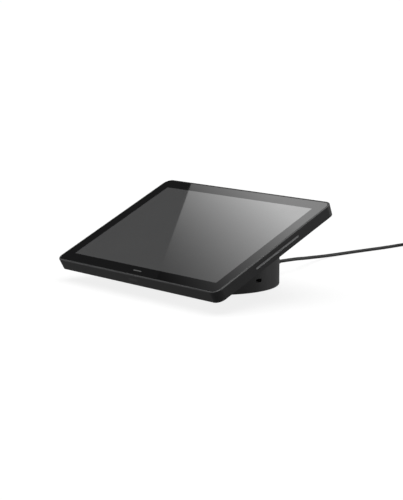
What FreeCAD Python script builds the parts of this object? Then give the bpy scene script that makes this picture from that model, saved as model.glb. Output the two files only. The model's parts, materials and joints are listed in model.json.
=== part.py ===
"""Card payment terminal: a tilted touch display with a card slot in its edge, on a round stand.

Millimetres, origin on the stand's axis at the table, +Z up, -Y towards the user, +X to the user's
right. Pieces of the head are drawn in the head's own frame (x right, y up the screen, z out of the
glass, origin in the middle of the glass) and their Placement tilts them into the whole object.
"""
import FreeCAD, Part
import math
import os
import re

import Sketcher

HEAD = "head"
STAND = "stand"

# alias, value, meaning
DIMENSIONS = [
    # the head as a whole
    ("tilt", 25, "tilt of the glass from level, degrees"),
    ("head_forward", 33.07, "middle of the glass in front of the stand's axis"),
    ("glass_height", 56.7, "middle of the glass above the table"),
    ("head_width", 247.2, "across the rim"),
    ("head_height", 165.9, "up the rim"),
    ("head_corner", 9, "corner radius in plan"),
    ("edge_depth", 11.7, "depth of the side wall"),
    ("side_draft", 0.9, "how far the side wall draws in"),
    ("back_depth", 19.7, "depth of the flat back"),
    ("back_inset", 24, "sloped border of the back"),
    ("back_corner", 16, "corner radius of the flat back"),
    ("wall", 2.2, "housing wall"),
    ("slope_step", 0.4, "inside of the slope, beyond the outside"),
    ("rim_land", 1.8, "width of the rim round the glass"),
    ("rim_wall", 3.1, "wall under the glass"),
    ("rim_round", 0.8, "rounding of the rim"),
    ("inner_corner", 6, "corner radius inside"),
    ("round_end", 0.46, "corner radius of a round-ended outline, as a share of its width"),
    ("block_corner", 0.5, "corner radius of small moulded blocks"),
    ("sheet_corner", 1.5, "corner radius of small sheets and shields"),
    # the glass and the display
    ("glass_thickness", 1.1, ""),
    ("glass_gap", 0.2, "between the glass and the rim"),
    ("glass_sink", 0.05, "glass below the rim"),
    ("glass_round", 0.3, "rounding of the glass edge"),
    ("glue_thickness", 0.2, ""),
    ("glue_width", 4, ""),
    ("frame_gap", 3.7, "display frame inside the rim"),
    ("frame_thickness", 1.6, ""),
    ("frame_skirt", 0.75, "skirt below the frame"),
    ("frame_skirt_width", 1, ""),
    ("frame_opening_width", 229, ""),
    ("frame_opening_height", 150, ""),
    ("panel_width", 227, "display panel"),
    ("panel_height", 148.4, ""),
    ("panel_thickness", 2.55, ""),
    ("sensor_thickness", 0.3, "touch sensor"),
    ("aerial_width", 78, "contactless aerial"),
    ("aerial_height", 58, ""),
    ("aerial_track", 6, ""),
    ("aerial_thickness", 0.2, ""),
    ("ferrite_border", 3, "ferrite sheet beyond the aerial"),
    ("ferrite_thickness", 0.3, ""),
    ("plate_width", 225, "middle plate"),
    ("plate_height", 140, ""),
    ("plate_thickness", 0.8, ""),
    ("plate_corner", 4, ""),
    ("reader_clearance", 3.5, "cut-out beyond the card reader"),
    # the card reader in the right edge
    ("slot_width", 60, "visible slot insert"),
    ("slot_height", 2, ""),
    ("slot_depth", 6, "middle of the slot below the glass"),
    ("slot_face", 123, "outer face of the insert"),
    ("slot_back", 119.6, "inner face of the insert"),
    ("slot_flange", 0.8, "flange behind the wall"),
    ("slot_fit", 0.2, "gap round the insert"),
    ("slot_lip", 0.8, "lip round the mouth"),
    ("mouth_width", 55.5, "narrow end of the mouth"),
    ("mouth_height", 1.2, ""),
    ("reader_start", 64, ""),
    ("reader_end", 119.5, ""),
    ("reader_width", 61, ""),
    ("reader_top", 4.9, "depth below the glass"),
    ("reader_bottom", 9, ""),
    ("channel_start", 66, "where a card stops"),
    ("channel_width", 54.6, ""),
    ("channel_height", 1.1, ""),
    ("carrier_x", 81, "middle of the contact carrier"),
    ("carrier_y", 3, ""),
    ("carrier_length", 13, ""),
    ("carrier_width", 13, ""),
    ("carrier_top", 6.9, "depth below the glass"),
    ("carrier_bottom", 8.7, ""),
    ("carrier_gap", 1, "window round the carrier"),
    ("contact_length", 3, ""),
    ("contact_width", 1.4, ""),
    ("contact_height", 0.25, ""),
    ("contact_pitch", 2.54, ""),
    ("contact_offset", 3.4, "contact row from the carrier's middle"),
    ("lever_x", 69.5, "lever pin"),
    ("lever_y", 19, ""),
    ("lever_depth", 7.9, ""),
    ("lever_width", 4, ""),
    ("lever_hub", 1, ""),
    ("lever_bore", 0.6, ""),
    ("lever_tip", 5.8, "tip depth below the glass"),
    ("lever_thickness", 0.8, ""),
    ("lever_pin_radius", 0.5, ""),
    ("lever_slot", 8, "notch along the card"),
    ("lever_notch", 6, "notch across the card"),
    ("switch_size", 4, "card switch"),
    ("switch_height", 3, ""),
    ("reader_ribbon_length", 20, "flat cable from the reader to the board"),
    ("reader_ribbon_width", 16, ""),
    # boards and other parts in the head
    ("board_x", -22.5, ""),
    ("board_width", 145, ""),
    ("board_height", 96, ""),
    ("board_top", 9.6, "depth below the glass"),
    ("board_thickness", 1.6, ""),
    ("board_corner", 3, ""),
    ("spacer_radius", 2.8, ""),
    ("spacer_x", 65.5, "spacers from the board's middle"),
    ("spacer_y", 41, ""),
    ("shield_height", 1.6, ""),
    ("cell_x", -60, "memory backup cell"),
    ("cell_y", -25, ""),
    ("cell_radius", 6.25, ""),
    ("cell_thickness", 3.2, ""),
    ("holder_size", 16, ""),
    ("holder_thickness", 2.4, ""),
    ("socket_length", 12, "socket for the inner lead"),
    ("socket_width", 8, ""),
    ("socket_height", 4, ""),
    ("lead_y", 15, "where the inner lead enters the head"),
    ("lead_hole", 7, ""),
    ("lead_level_end", 42, "where the inner lead starts to rise"),
    ("lead_rise_end", 22, ""),
    ("lead_rise", 6, ""),
    ("lead_approach", 16, "straight run into the plug"),
    ("plug_length", 11, "plug of the inner lead"),
    ("plug_width", 7, ""),
    ("plug_height", 3.4, ""),
    ("speaker_x", 86, ""),
    ("speaker_y", -62, ""),
    ("speaker_length", 40, ""),
    ("speaker_width", 16, ""),
    ("speaker_top", 5.4, "depth below the glass"),
    ("speaker_bottom", 11.8, ""),
    ("grille_slot", 1.4, "grille and vent slots"),
    ("grille_length", 7, ""),
    ("grille_pitch", 3.4, ""),
    ("grille_y", -68.7, ""),
    ("vent_y", 70, ""),
    ("tamper_x", -76, ""),
    ("tamper_y", 25, ""),
    ("tamper_radius", 3, ""),
    ("tamper_height", 1, ""),
    ("post_radius", 2, ""),
    ("strip_length", 40, "wireless aerial strips"),
    ("strip_width", 6, ""),
    ("strip_x", 60, ""),
    ("strip_y", 65, ""),
    ("strip_thickness", 0.3, ""),
    ("ribbon_thickness", 0.25, "ribbon cables"),
    ("ribbon_width", 30, ""),
    ("ribbon_x", -40, ""),
    ("ribbon_y", 72, ""),
    ("ribbon_end", 44, ""),
    # power button in the left edge, and the blank inlay in the front edge
    ("button_y", 40, ""),
    ("button_depth", 6, "below the glass"),
    ("button_length", 12, ""),
    ("button_height", 3, ""),
    ("button_face", 123.4, "outer face of the button"),
    ("button_inner", 119, ""),
    ("button_flange", 0.8, ""),
    ("button_stop", 120.4, "flange behind the wall"),
    ("button_fit", 0.3, "gap round the button"),
    ("button_switch_face", 118.3, ""),
    ("plunger_length", 2.4, "plunger of the power switch"),
    ("plunger_height", 1.4, ""),
    ("plunger_reach", 1.2, ""),
    ("power_switch_length", 6, ""),
    ("power_switch_height", 3.4, ""),
    ("power_switch_depth", 3.5, ""),
    ("inlay_width", 14, ""),
    ("inlay_height", 3.6, ""),
    ("inlay_depth", 5.5, "below the glass"),
    ("inlay_face", 82.5, "from the head's middle"),
    ("inlay_back", 81.95, ""),
    ("inlay_fit", 0.2, "inlay smaller than its recess"),
    # rear cover and the plate that takes the stand
    ("cover_width", 176, ""),
    ("cover_height", 96, ""),
    ("cover_corner", 8, ""),
    ("cover_thickness", 1.6, ""),
    ("cover_gap", 0.3, ""),
    ("cover_ledge", 6, ""),
    ("cover_screw_x", 85, ""),
    ("cover_screw_y", 32, ""),
    ("cover_screw_side", 45, "upper and lower middle screw"),
    ("boss_height", 6, ""),
    ("mount_width", 90, ""),
    ("mount_height", 70, ""),
    ("mount_thickness", 2, ""),
    ("mount_corner", 5, ""),
    ("mount_screw_x", 32, ""),
    ("mount_screw_y", 25, ""),
    # the stand
    ("stand_radius", 65, ""),
    ("stand_gap", 0.8, "housing above the table"),
    ("deck_height", 58, "level rear deck above the table"),
    ("stand_wall", 2.5, ""),
    ("stand_round", 1, "rounding of the lower edge"),
    ("deck_round", 2.5, "rounding of the deck's edge"),
    ("stand_boss_radius", 5.2, ""),
    ("stand_boss_circle", 58.5, ""),
    ("stand_boss_height", 12, ""),
    ("floor_radius", 62.2, ""),
    ("floor_bottom", 5.1, ""),
    ("floor_thickness", 2, ""),
    ("weight_radius", 52, ""),
    ("weight_thickness", 11, ""),
    ("weight_bore", 14, ""),
    ("weight_notch_width", 16, ""),
    ("weight_notch_start", 10, ""),
    ("weight_screw_circle", 44, ""),
    ("pivot_radius", 4, ""),
    ("pivot_fit", 0.1, ""),
    ("bush_radius", 6.5, ""),
    ("bush_flange_radius", 9, ""),
    ("bush_flange", 1, ""),
    ("stop_radius", 2, ""),
    ("stop_circle", 20, ""),
    ("stop_fit", 0.4, ""),
    ("swivel_limit", 90, "degrees each way"),
    ("foot_radius", 61, ""),
    ("foot_bottom", 1.2, ""),
    ("foot_thickness", 2.6, ""),
    ("tread_radius", 59.5, "rubber foot"),
    ("tread_height", 1.8, ""),
    ("tread_groove", 0.5, "depth of the grooves in the rubber"),
    ("bearing_outer", 34, ""),
    ("bearing_inner", 26, ""),
    ("bearing_gap", 0.1, ""),
    ("bolt_head_radius", 7.8, ""),
    ("bolt_head_height", 1.1, ""),
    ("bolt_length", 10.8, ""),
    ("washer_radius", 10, ""),
    ("washer_thickness", 0.8, ""),
    ("nut_radius", 7.2, ""),
    ("nut_height", 4, ""),
    # lock slot and cable outlet of the stand
    ("lock_width", 7, ""),
    ("lock_height", 3, ""),
    ("lock_z", 12.4, "above the table"),
    ("lock_fit", 0.2, "housing hole beyond the slot"),
    ("lock_plate_width", 16, ""),
    ("lock_plate_height", 12, ""),
    ("lock_plate_face", 61.9, ""),
    ("lock_plate_thickness", 2, ""),
    ("lock_plate_rise", 1, "middle of the plate above the slot"),
    ("cord_radius", 1.8, ""),
    ("outlet_z", 12.6, "above the table"),
    ("outlet_hole", 3.6, ""),
    ("relief_flange", 4.5, ""),
    ("relief_start", 60.3, ""),
    ("relief_wall", 62.1, ""),
    ("relief_neck", 3.5, ""),
    ("relief_collar", 5, ""),
    ("relief_collar_start", 65.1, ""),
    ("relief_collar_end", 67.5, ""),
    ("relief_root", 3.9, ""),
    ("relief_tip", 2.5, ""),
    ("relief_end", 90, ""),
    ("clamp_width", 13, ""),
    ("clamp_length", 8, ""),
    ("clamp_y", 51, ""),
    ("clamp_height", 8.5, ""),
    ("clamp_screw", 4.6, ""),
    # screws
    ("small_shank", 1.05, ""),
    ("small_head", 1.9, ""),
    ("medium_shank", 1.25, ""),
    ("medium_head", 2.4, ""),
    ("large_shank", 2, ""),
    ("large_head", 3.5, ""),
    ("screw_fit", 0.1, "hole beyond the shank"),
    ("head_height_small", 1, "height of a screw head"),
    ("head_height_large", 1.2, ""),
    # the unused length of the cord, wound up, with its plug and tie
    ("coil_x", -10.2, ""),
    ("coil_y", 354, ""),
    ("coil_middle", 18, "radius at the middle of the turns"),
    ("coil_columns", 3, ""),
    ("coil_layers", 4, ""),
    ("tie_width", 12, ""),
    ("tie_thickness", 0.8, ""),
    ("tie_fit", 0.6, "tie outside the turns"),
    ("tie_corner", 2.2, ""),
    ("far_plug_length", 22, ""),
    ("far_plug_width", 11, ""),
    ("far_plug_height", 6.4, ""),
    ("far_plug_relief", 9, ""),
    ("far_plug_root", 2.9, "wide end of the relief"),
    ("far_plug_start", 7, "from the coil's middle"),
    ("shell_length", 6.7, "metal nose of the plug"),
    ("shell_width", 8.3, ""),
    ("shell_height", 2.5, ""),
    ("shell_wall", 0.35, ""),
]
ALIASES = {alias for alias, value, meaning in DIMENSIONS}

doc = FreeCAD.newDocument("card_terminal")
sheet = doc.addObject("Spreadsheet::Sheet", "Dim")
parts = []

# the height of the seat's sloping plane, which carries the head, on the stand's axis
SEAT = "(glass_height + head_forward*tan(tilt) - back_depth/cos(tilt))"
EDGE_WIDTH = "(head_width - 2*side_draft)"
EDGE_HEIGHT = "(head_height - 2*side_draft)"
INNER_WIDTH = "(head_width - 2*side_draft - 2*wall)"
INNER_HEIGHT = "(head_height - 2*side_draft - 2*wall)"
INNER_EDGE = "(edge_depth - wall + side_draft*0.75)"
GLASS_BACK = "(glass_sink + glass_thickness)"
FRAME_TOP = "(glass_sink + glass_thickness + glue_thickness)"
PANEL_BACK = "(glass_sink + glass_thickness + sensor_thickness + panel_thickness)"
AERIAL_BACK = "(glass_sink + glass_thickness + sensor_thickness + panel_thickness + aerial_thickness)"
PLATE_TOP = "(%s + ferrite_thickness)" % AERIAL_BACK
PLATE_BACK = "(%s + plate_thickness)" % PLATE_TOP
BOARD_BACK = "(board_top + board_thickness)"
COVER_TOP = "(back_depth - cover_thickness)"
FLOOR_TOP = "(floor_bottom + floor_thickness)"
FOOT_TOP = "(foot_bottom + foot_thickness)"
COIL_HALF = "(coil_columns*cord_radius)"


def fill_sheet():
    """Write every driving dimension to the sheet, one row each."""
    for row, (alias, value, meaning) in enumerate(DIMENSIONS, start=1):
        sheet.set("A%d" % row, alias)
        sheet.set("B%d" % row, str(value))
        sheet.setAlias("B%d" % row, alias)
        sheet.set("C%d" % row, meaning)
    doc.recompute()


def linked(text):
    """The expression with each alias pointing at its cell in the sheet."""
    def link(word):
        return "Dim." + word[0] if word[0] in ALIASES else word[0]

    return re.sub(r"[a-z][a-z_]*", link, str(text))


def size(text):
    """The present value of an expression."""
    return float(sheet.evalExpression(linked(text)))


def bind(thing, prop, text):
    thing.setExpression(prop, linked(text))


def place_in_head(thing):
    """Tilt an object drawn in the head's frame into the whole object."""
    turned = FreeCAD.Rotation(FreeCAD.Vector(1, 0, 0), size("tilt"))
    thing.Placement = FreeCAD.Placement(FreeCAD.Vector(0, 0, 0), turned)
    bind(thing, "Placement.Base.y", "-head_forward")
    bind(thing, "Placement.Base.z", "glass_height")
    bind(thing, "Placement.Rotation.Angle", "tilt")


class Piece:
    """One sub-part as a PartDesign body."""

    def __init__(self, label, home):
        self.body = doc.addObject("PartDesign::Body", label)
        self.body.Label = label
        self.sketches = 0
        if home == HEAD:
            place_in_head(self.body)
        parts.append(self.body)

    def sketch(self, plane="XY_Plane", offset="0"):
        """A sketch on one of the body's own planes, moved along its normal by offset."""
        self.sketches += 1
        name = "%s_sketch_%d" % (self.body.Label, self.sketches)
        drawn = self.body.newObject("Sketcher::SketchObject", name)
        support = [origin for origin in self.body.Origin.OriginFeatures if origin.Role == plane][0]
        drawn.AttachmentSupport = [(support, "")]
        drawn.MapMode = "FlatFace"
        bind(drawn, "AttachmentOffset.Base.z", offset)
        return drawn

    def feature(self, kind, sketch, **values):
        made = self.body.newObject("PartDesign::" + kind, "%s_%s" % (self.body.Label, kind.lower()))
        made.Profile = sketch
        for name, value in values.items():
            setattr(made, name, value)
        self.body.Tip = made
        return made

    def pad(self, sketch, length):
        """Add material along the sketch's normal."""
        bind(self.feature("Pad", sketch), "Length", length)

    def cut(self, sketch, length, forward=False):
        """Remove material against the sketch's normal, or along it."""
        pocket = self.feature("Pocket", sketch, Reversed=forward)
        bind(pocket, "Length", length)
        return pocket

    def loft(self, first, second, remove=False):
        kind = "SubtractiveLoft" if remove else "AdditiveLoft"
        self.feature(kind, first, Sections=[second], Ruled=True)

    def turn(self, sketch, axis="V_Axis"):
        self.feature("Revolution", sketch, ReferenceAxis=(sketch, [axis]), Angle=360)

    def row(self, pocket, sketch, length, count):
        """Repeat a pocket along the sketch's horizontal axis."""
        pattern = self.body.newObject("PartDesign::LinearPattern", "%s_row" % self.body.Label)
        pattern.Originals = [pocket]
        pattern.Direction = (sketch, ["H_Axis"])
        bind(pattern, "Length", length)
        pattern.Occurrences = count
        self.body.Tip = pattern

    def round_edges(self, radius, wanted):
        """Fillet the edges of the present solid that the test picks."""
        doc.recompute()
        base = self.body.Tip
        names = ["Edge%d" % n for n, edge in enumerate(base.Shape.Edges, start=1) if wanted(edge)]
        fillet = self.body.newObject("PartDesign::Fillet", "%s_fillet" % self.body.Label)
        fillet.Base = (base, names)
        bind(fillet, "Radius", radius)
        self.body.Tip = fillet

    def take_away(self, other):
        """Remove another body, which is used up."""
        parts.remove(other.body)
        doc.recompute()
        made = self.body.newObject("PartDesign::Boolean", "%s_boolean" % self.body.Label)
        made.Type = "Cut"
        made.setObjects([other.body])
        self.body.Tip = made


def lock(sketch, kind, geometry, position, text):
    """Fix one coordinate of a point from the sketch's origin."""
    index = sketch.addConstraint(Sketcher.Constraint(kind, -1, 1, geometry, position, size(text)))
    bind(sketch, "Constraints[%d]" % index, text)


def rounded(sketch, width, height, radius, x="0", y="0"):
    """A rectangle with round corners about a centre."""
    half_x, half_y, corner = size(width) / 2, size(height) / 2, size(radius)
    middle_x, middle_y = size(x), size(y)
    arcs, lines, starts, ends = [], [], [], []
    for quarter, (side_x, side_y) in enumerate([(1, 1), (-1, 1), (-1, -1), (1, -1)]):
        across, along = side_x * (half_x - corner), side_y * (half_y - corner)
        centre = FreeCAD.Vector(middle_x + across, middle_y + along, 0)
        angle = quarter * math.pi / 2
        circle_part = Part.Circle(centre, FreeCAD.Vector(0, 0, 1), corner)
        arc = Part.ArcOfCircle(circle_part, angle, angle + math.pi / 2)
        arcs.append(sketch.addGeometry(arc))
        starts.append(arc.StartPoint)
        ends.append(arc.EndPoint)
    for quarter in range(4):
        lines.append(sketch.addGeometry(Part.LineSegment(ends[quarter], starts[(quarter + 1) % 4])))
    for quarter in range(4):
        following = (quarter + 1) % 4
        sketch.addConstraint(Sketcher.Constraint("Tangent", arcs[quarter], 2, lines[quarter], 1))
        sketch.addConstraint(Sketcher.Constraint("Tangent", lines[quarter], 2, arcs[following], 1))
        direction = "Horizontal" if quarter % 2 == 0 else "Vertical"
        sketch.addConstraint(Sketcher.Constraint(direction, lines[quarter]))
    for quarter in range(1, 4):
        sketch.addConstraint(Sketcher.Constraint("Equal", arcs[0], arcs[quarter]))
    index = sketch.addConstraint(Sketcher.Constraint("Radius", arcs[0], corner))
    bind(sketch, "Constraints[%d]" % index, radius)
    lock(sketch, "DistanceY", lines[0], 1, "%s + %s/2" % (y, height))
    lock(sketch, "DistanceX", lines[1], 1, "%s - %s/2" % (x, width))
    lock(sketch, "DistanceY", lines[2], 1, "%s - %s/2" % (y, height))
    lock(sketch, "DistanceX", lines[3], 1, "%s + %s/2" % (x, width))


def circles(sketch, radius, centres=(("0", "0"),)):
    """Equal circles at the centres."""
    for x, y in centres:
        centre = FreeCAD.Vector(size(x), size(y), 0)
        drawn = sketch.addGeometry(Part.Circle(centre, FreeCAD.Vector(0, 0, 1), size(radius)))
        index = sketch.addConstraint(Sketcher.Constraint("Radius", drawn, size(radius)))
        bind(sketch, "Constraints[%d]" % index, radius)
        lock(sketch, "DistanceX", drawn, 3, x)
        lock(sketch, "DistanceY", drawn, 3, y)


def polygon(sketch, corners):
    """A closed outline of straight lines through the corners."""
    points = [FreeCAD.Vector(size(x), size(y), 0) for x, y in corners]
    count = len(points)
    lines = [sketch.addGeometry(Part.LineSegment(points[n], points[(n + 1) % count])) for n in range(count)]
    for n, (x, y) in enumerate(corners):
        sketch.addConstraint(Sketcher.Constraint("Coincident", lines[n - 1], 2, lines[n], 1))
        lock(sketch, "DistanceX", lines[n], 1, x)
        lock(sketch, "DistanceY", lines[n], 1, y)


def rectangle(sketch, left, right, low, high):
    polygon(sketch, [(left, low), (right, low), (right, high), (left, high)])


def plate(label, home, width, height, corner, bottom, thickness, x="0", y="0"):
    """A flat rounded plate whose underside is at bottom."""
    piece = Piece(label, home)
    outline = piece.sketch(offset=bottom)
    rounded(outline, width, height, corner, x, y)
    piece.pad(outline, thickness)
    return piece


def opening(piece, width, height, corner, bottom, depth, x="0", y="0"):
    """A rounded opening cut upwards from bottom."""
    outline = piece.sketch(offset=bottom)
    rounded(outline, width, height, corner, x, y)
    piece.cut(outline, depth, forward=True)


def holes(piece, radius, centres, bottom, depth):
    """Round holes cut upwards from bottom."""
    outline = piece.sketch(offset=bottom)
    circles(outline, radius, centres)
    piece.cut(outline, depth, forward=True)


def ring(label, outer, inner, bottom, thickness):
    """A flat ring of the stand."""
    piece = Piece(label, STAND)
    outline = piece.sketch(offset=bottom)
    circles(outline, outer)
    circles(outline, inner)
    piece.pad(outline, thickness)
    return piece


def screws(label, home, centres, head, shank, seat, height, length, heads_up=False):
    """Equal screws: heads below their seat, or above it, and shanks the other way."""
    piece = Piece(label, home)
    head_bottom = seat if heads_up else "%s - %s" % (seat, height)
    shank_bottom = "%s - %s" % (seat, length) if heads_up else seat
    head_outline = piece.sketch(offset=head_bottom)
    circles(head_outline, head, centres)
    piece.pad(head_outline, height)
    shank_outline = piece.sketch(offset=shank_bottom)
    circles(shank_outline, shank, centres)
    piece.pad(shank_outline, length)
    drive = piece.sketch(offset="%s + %s" % (seat, height) if heads_up else head_bottom)
    circles(drive, "round_end*%s" % head, centres)
    piece.cut(drive, "%s/2" % height, forward=not heads_up)


def corners_of(x, y):
    """The four corners of a rectangle about the middle."""
    return [("%s%s" % (sx, x), "%s%s" % (sy, y)) for sx in ("", "-") for sy in ("", "-")]


def on_circle(radius, angles):
    return [("%s*cos(%g)" % (radius, angle), "%s*sin(%g)" % (radius, angle)) for angle in angles]


COVER_SCREWS = corners_of("cover_screw_x", "cover_screw_y")
COVER_SCREWS += [("0", "cover_screw_side"), ("0", "-cover_screw_side")]
MOUNT_SCREWS = corners_of("mount_screw_x", "mount_screw_y")
BOARD_COLUMNS = ["board_x + %d*spacer_x" % column for column in (-1, 0, 1)]
BOARD_SCREWS = [(x, "%sspacer_y" % side) for x in BOARD_COLUMNS for side in ("", "-")]
FLOOR_SCREWS = on_circle("stand_boss_circle", (45, 135, 225, 315))
WEIGHT_SCREWS = on_circle("weight_screw_circle", (30, 150, 270))
CLAMP_SCREWS = [("clamp_screw", "clamp_y"), ("-clamp_screw", "clamp_y")]
SHIELDS = [(42, 34, -62, 8), (30, 30, -14, 14), (26, 22, 24, -22)]
TAMPER_POINTS = [("tamper_x", "tamper_y"), ("tamper_x", "-tamper_y")]


# ---------------------------------------------------------------- head: housing and display

def head_housing():
    """The tray-shaped housing: drafted sides in one with the sloping back, open to the front."""
    piece = Piece("head_housing", HEAD)
    lower = (EDGE_WIDTH, EDGE_HEIGHT, "(head_corner - side_draft)")
    flat = ("(%s - 2*back_inset)" % EDGE_WIDTH, "(%s - 2*back_inset)" % EDGE_HEIGHT, "back_corner")
    rim = piece.sketch()
    rounded(rim, "head_width", "head_height", "head_corner")
    edge = piece.sketch(offset="-edge_depth")
    rounded(edge, *lower)
    piece.loft(rim, edge)
    edge_again = piece.sketch(offset="-edge_depth")
    rounded(edge_again, *lower)
    back = piece.sketch(offset="-back_depth")
    rounded(back, *flat)
    piece.loft(edge_again, back)
    piece.round_edges("rim_round", at_height(0))
    hollow_housing(piece)
    opening(piece, "cover_width", "cover_height", "cover_corner", "-back_depth", "cover_thickness")
    inside = ("(cover_width - 2*cover_ledge)", "(cover_height - 2*cover_ledge)", "inner_corner")
    opening(piece, *inside, "-back_depth", "back_depth/2")
    bosses = piece.sketch(offset="-%s" % COVER_TOP)
    circles(bosses, "spacer_radius", COVER_SCREWS)
    piece.pad(bosses, "boss_height")
    holes(piece, "small_shank", COVER_SCREWS, "-%s" % COVER_TOP, "boss_height - 1")
    housing_side_openings(piece)
    housing_grilles(piece)


def hollow_housing(piece):
    """The recess for the glass and the room inside, one wall behind the outside."""
    recess = piece.sketch()
    rounded(recess, "(head_width - 2*rim_land)", "(head_height - 2*rim_land)", "(head_corner - rim_land)")
    piece.cut(recess, FRAME_TOP)
    top = piece.sketch()
    rounded(top, "(head_width - 2*rim_wall)", "(head_height - 2*rim_wall)", "inner_corner")
    low = piece.sketch(offset="-%s" % INNER_EDGE)
    rounded(low, INNER_WIDTH, INNER_HEIGHT, "inner_corner")
    piece.loft(top, low, remove=True)
    low_again = piece.sketch(offset="-%s" % INNER_EDGE)
    rounded(low_again, INNER_WIDTH, INNER_HEIGHT, "inner_corner")
    deep = piece.sketch(offset="-(back_depth - wall)")
    step = "(side_draft + back_inset + slope_step)"
    rounded(deep, "(head_width - 2*%s)" % step, "(head_height - 2*%s)" % step, "(back_corner - 2)")
    piece.loft(low_again, deep, remove=True)


def housing_side_openings(piece):
    """The card slot, the power button's hole and the recess for the blank inlay."""
    slot = piece.sketch("YZ_Plane", "slot_back - slot_flange")
    length, height = "(slot_width + 2*slot_fit)", "(slot_height + 2*slot_fit)"
    rounded(slot, length, height, "slot_height/2", "0", "-slot_depth")
    piece.cut(slot, "2*wall + 2", forward=True)
    button = piece.sketch("YZ_Plane", "-(button_inner)")
    length, height = "(button_length + 2*button_fit)", "(button_height + 2*button_fit)"
    rounded(button, length, height, "button_height/2", "button_y", "-button_depth")
    piece.cut(button, "2*wall + 2")
    inlay = piece.sketch("XZ_Plane", "inlay_back")
    rounded(inlay, "inlay_width", "inlay_height", "round_end*inlay_height", "0", "-inlay_depth")
    piece.cut(inlay, "wall", forward=True)


def housing_grilles(piece):
    """Rows of slots through the sloping back: one under each speaker and a vent row at the top."""
    for start, y, count in (
        ("-speaker_x - 5*grille_pitch", "grille_y", 11),
        ("speaker_x - 5*grille_pitch", "grille_y", 11),
        ("-12*grille_pitch", "vent_y", 25),
    ):
        slot = piece.sketch(offset="-speaker_top")
        rounded(slot, "grille_slot", "grille_length", "round_end*grille_slot", "(%s)" % start, y)
        pocket = piece.cut(slot, "back_depth")
        piece.row(pocket, slot, "%d*grille_pitch" % (count - 1), count)


def at_height(height):
    """A test for edges that lie level at a height."""
    return lambda edge: abs(edge.BoundBox.ZMin - height) < 1e-4 and abs(edge.BoundBox.ZMax - height) < 1e-4


def cover_glass():
    width, height = "(head_width - 2*rim_land - 2*glass_gap)", "(head_height - 2*rim_land - 2*glass_gap)"
    corner = "(head_corner - rim_land - glass_gap)"
    piece = plate("cover_glass", HEAD, width, height, corner, "-%s" % GLASS_BACK, "glass_thickness")
    piece.round_edges("glass_round", at_height(-size("glass_sink")))


def glass_adhesive():
    width, height = "(head_width - 2*frame_gap)", "(head_height - 2*frame_gap)"
    bottom = "-%s" % FRAME_TOP
    piece = plate("glass_adhesive", HEAD, width, height, "inner_corner", bottom, "glue_thickness")
    inner = ["(%s - 2*glue_width)" % text for text in (width, height)]
    opening(piece, *inner, "inner_corner/2", bottom, "glue_thickness")


def display_frame():
    """The ring that the glass is glued to, with a short skirt."""
    width, height = "(head_width - 2*frame_gap)", "(head_height - 2*frame_gap)"
    bottom = "-(%s + frame_thickness + frame_skirt)" % FRAME_TOP
    depth = "frame_thickness + frame_skirt"
    piece = plate("display_frame", HEAD, width, height, "inner_corner", bottom, depth)
    opening(piece, "frame_opening_width", "frame_opening_height", "inner_corner/2", bottom, depth)
    inside = ["(%s - 2*frame_skirt_width)" % text for text in (width, height)]
    opening(piece, *inside, "(inner_corner - frame_skirt_width)", bottom, "frame_skirt")


def touch_sensor():
    bottom = "-(%s + sensor_thickness)" % GLASS_BACK
    plate("touch_sensor", HEAD, "panel_width", "panel_height", "sheet_corner", bottom, "sensor_thickness")


def display_panel():
    bottom = "-%s" % PANEL_BACK
    plate("display_panel", HEAD, "panel_width", "panel_height", "sheet_corner", bottom, "panel_thickness")


def contactless_aerial():
    """A flat loop behind the display that reads contactless cards."""
    bottom = "-%s" % AERIAL_BACK
    loop = ("aerial_width", "aerial_height", "aerial_track")
    piece = plate("contactless_aerial", HEAD, *loop, bottom, "aerial_thickness")
    inner = ("(aerial_width - 2*aerial_track)", "(aerial_height - 2*aerial_track)")
    opening(piece, *inner, "aerial_track/2", bottom, "aerial_thickness")


def ferrite_sheet():
    width, height = "(aerial_width + 2*ferrite_border)", "(aerial_height + 2*ferrite_border)"
    plate("ferrite_sheet", HEAD, width, height, "sheet_corner", "-%s" % PLATE_TOP, "ferrite_thickness")


def middle_plate():
    """The sheet metal plate between the display and the boards, cut away round the card reader."""
    bottom = "-%s" % PLATE_BACK
    piece = plate("middle_plate", HEAD, "plate_width", "plate_height", "plate_corner", bottom, "plate_thickness")
    notch = piece.sketch(offset=bottom)
    half = "(reader_width/2 + reader_clearance)"
    rectangle(notch, "(reader_start - reader_clearance)", "plate_width/2 + 1", "-%s" % half, half)
    piece.cut(notch, "plate_thickness", forward=True)
    holes(piece, "medium_shank + screw_fit", BOARD_SCREWS, bottom, "plate_thickness")


def front_inlay():
    """A plain blank inlay in the middle of the front edge."""
    piece = Piece("front_inlay", HEAD)
    outline = piece.sketch("XZ_Plane", "inlay_back")
    width, height = "(inlay_width - inlay_fit)", "(inlay_height - inlay_fit)"
    rounded(outline, width, height, "round_end*%s" % height, "0", "-inlay_depth")
    piece.pad(outline, "inlay_face - inlay_back")


# ---------------------------------------------------------------- head: card reader

def card_slot_insert():
    """The light insert that frames the slot: a flange behind the wall and a mouth that narrows."""
    piece = Piece("card_slot_insert", HEAD)
    body = piece.sketch("YZ_Plane", "slot_back")
    rounded(body, "slot_width", "slot_height", "round_end*slot_height", "0", "-slot_depth")
    piece.pad(body, "slot_face - slot_back")
    flange = piece.sketch("YZ_Plane", "slot_back")
    rounded(flange, "(slot_width + 3)", "(slot_height + 1.6)", "sheet_corner", "0", "-slot_depth")
    piece.pad(flange, "slot_flange")
    wide = piece.sketch("YZ_Plane", "slot_face + 0.01")
    mouth = ("(slot_width - 2*slot_lip)", "(slot_height - 0.6*slot_lip)")
    rounded(wide, *mouth, "round_end*%s" % mouth[1], "0", "-slot_depth")
    narrow = piece.sketch("YZ_Plane", "slot_back - 0.01")
    rounded(narrow, "mouth_width", "mouth_height", "round_end*mouth_height", "0", "-slot_depth")
    piece.loft(wide, narrow, remove=True)


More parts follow.
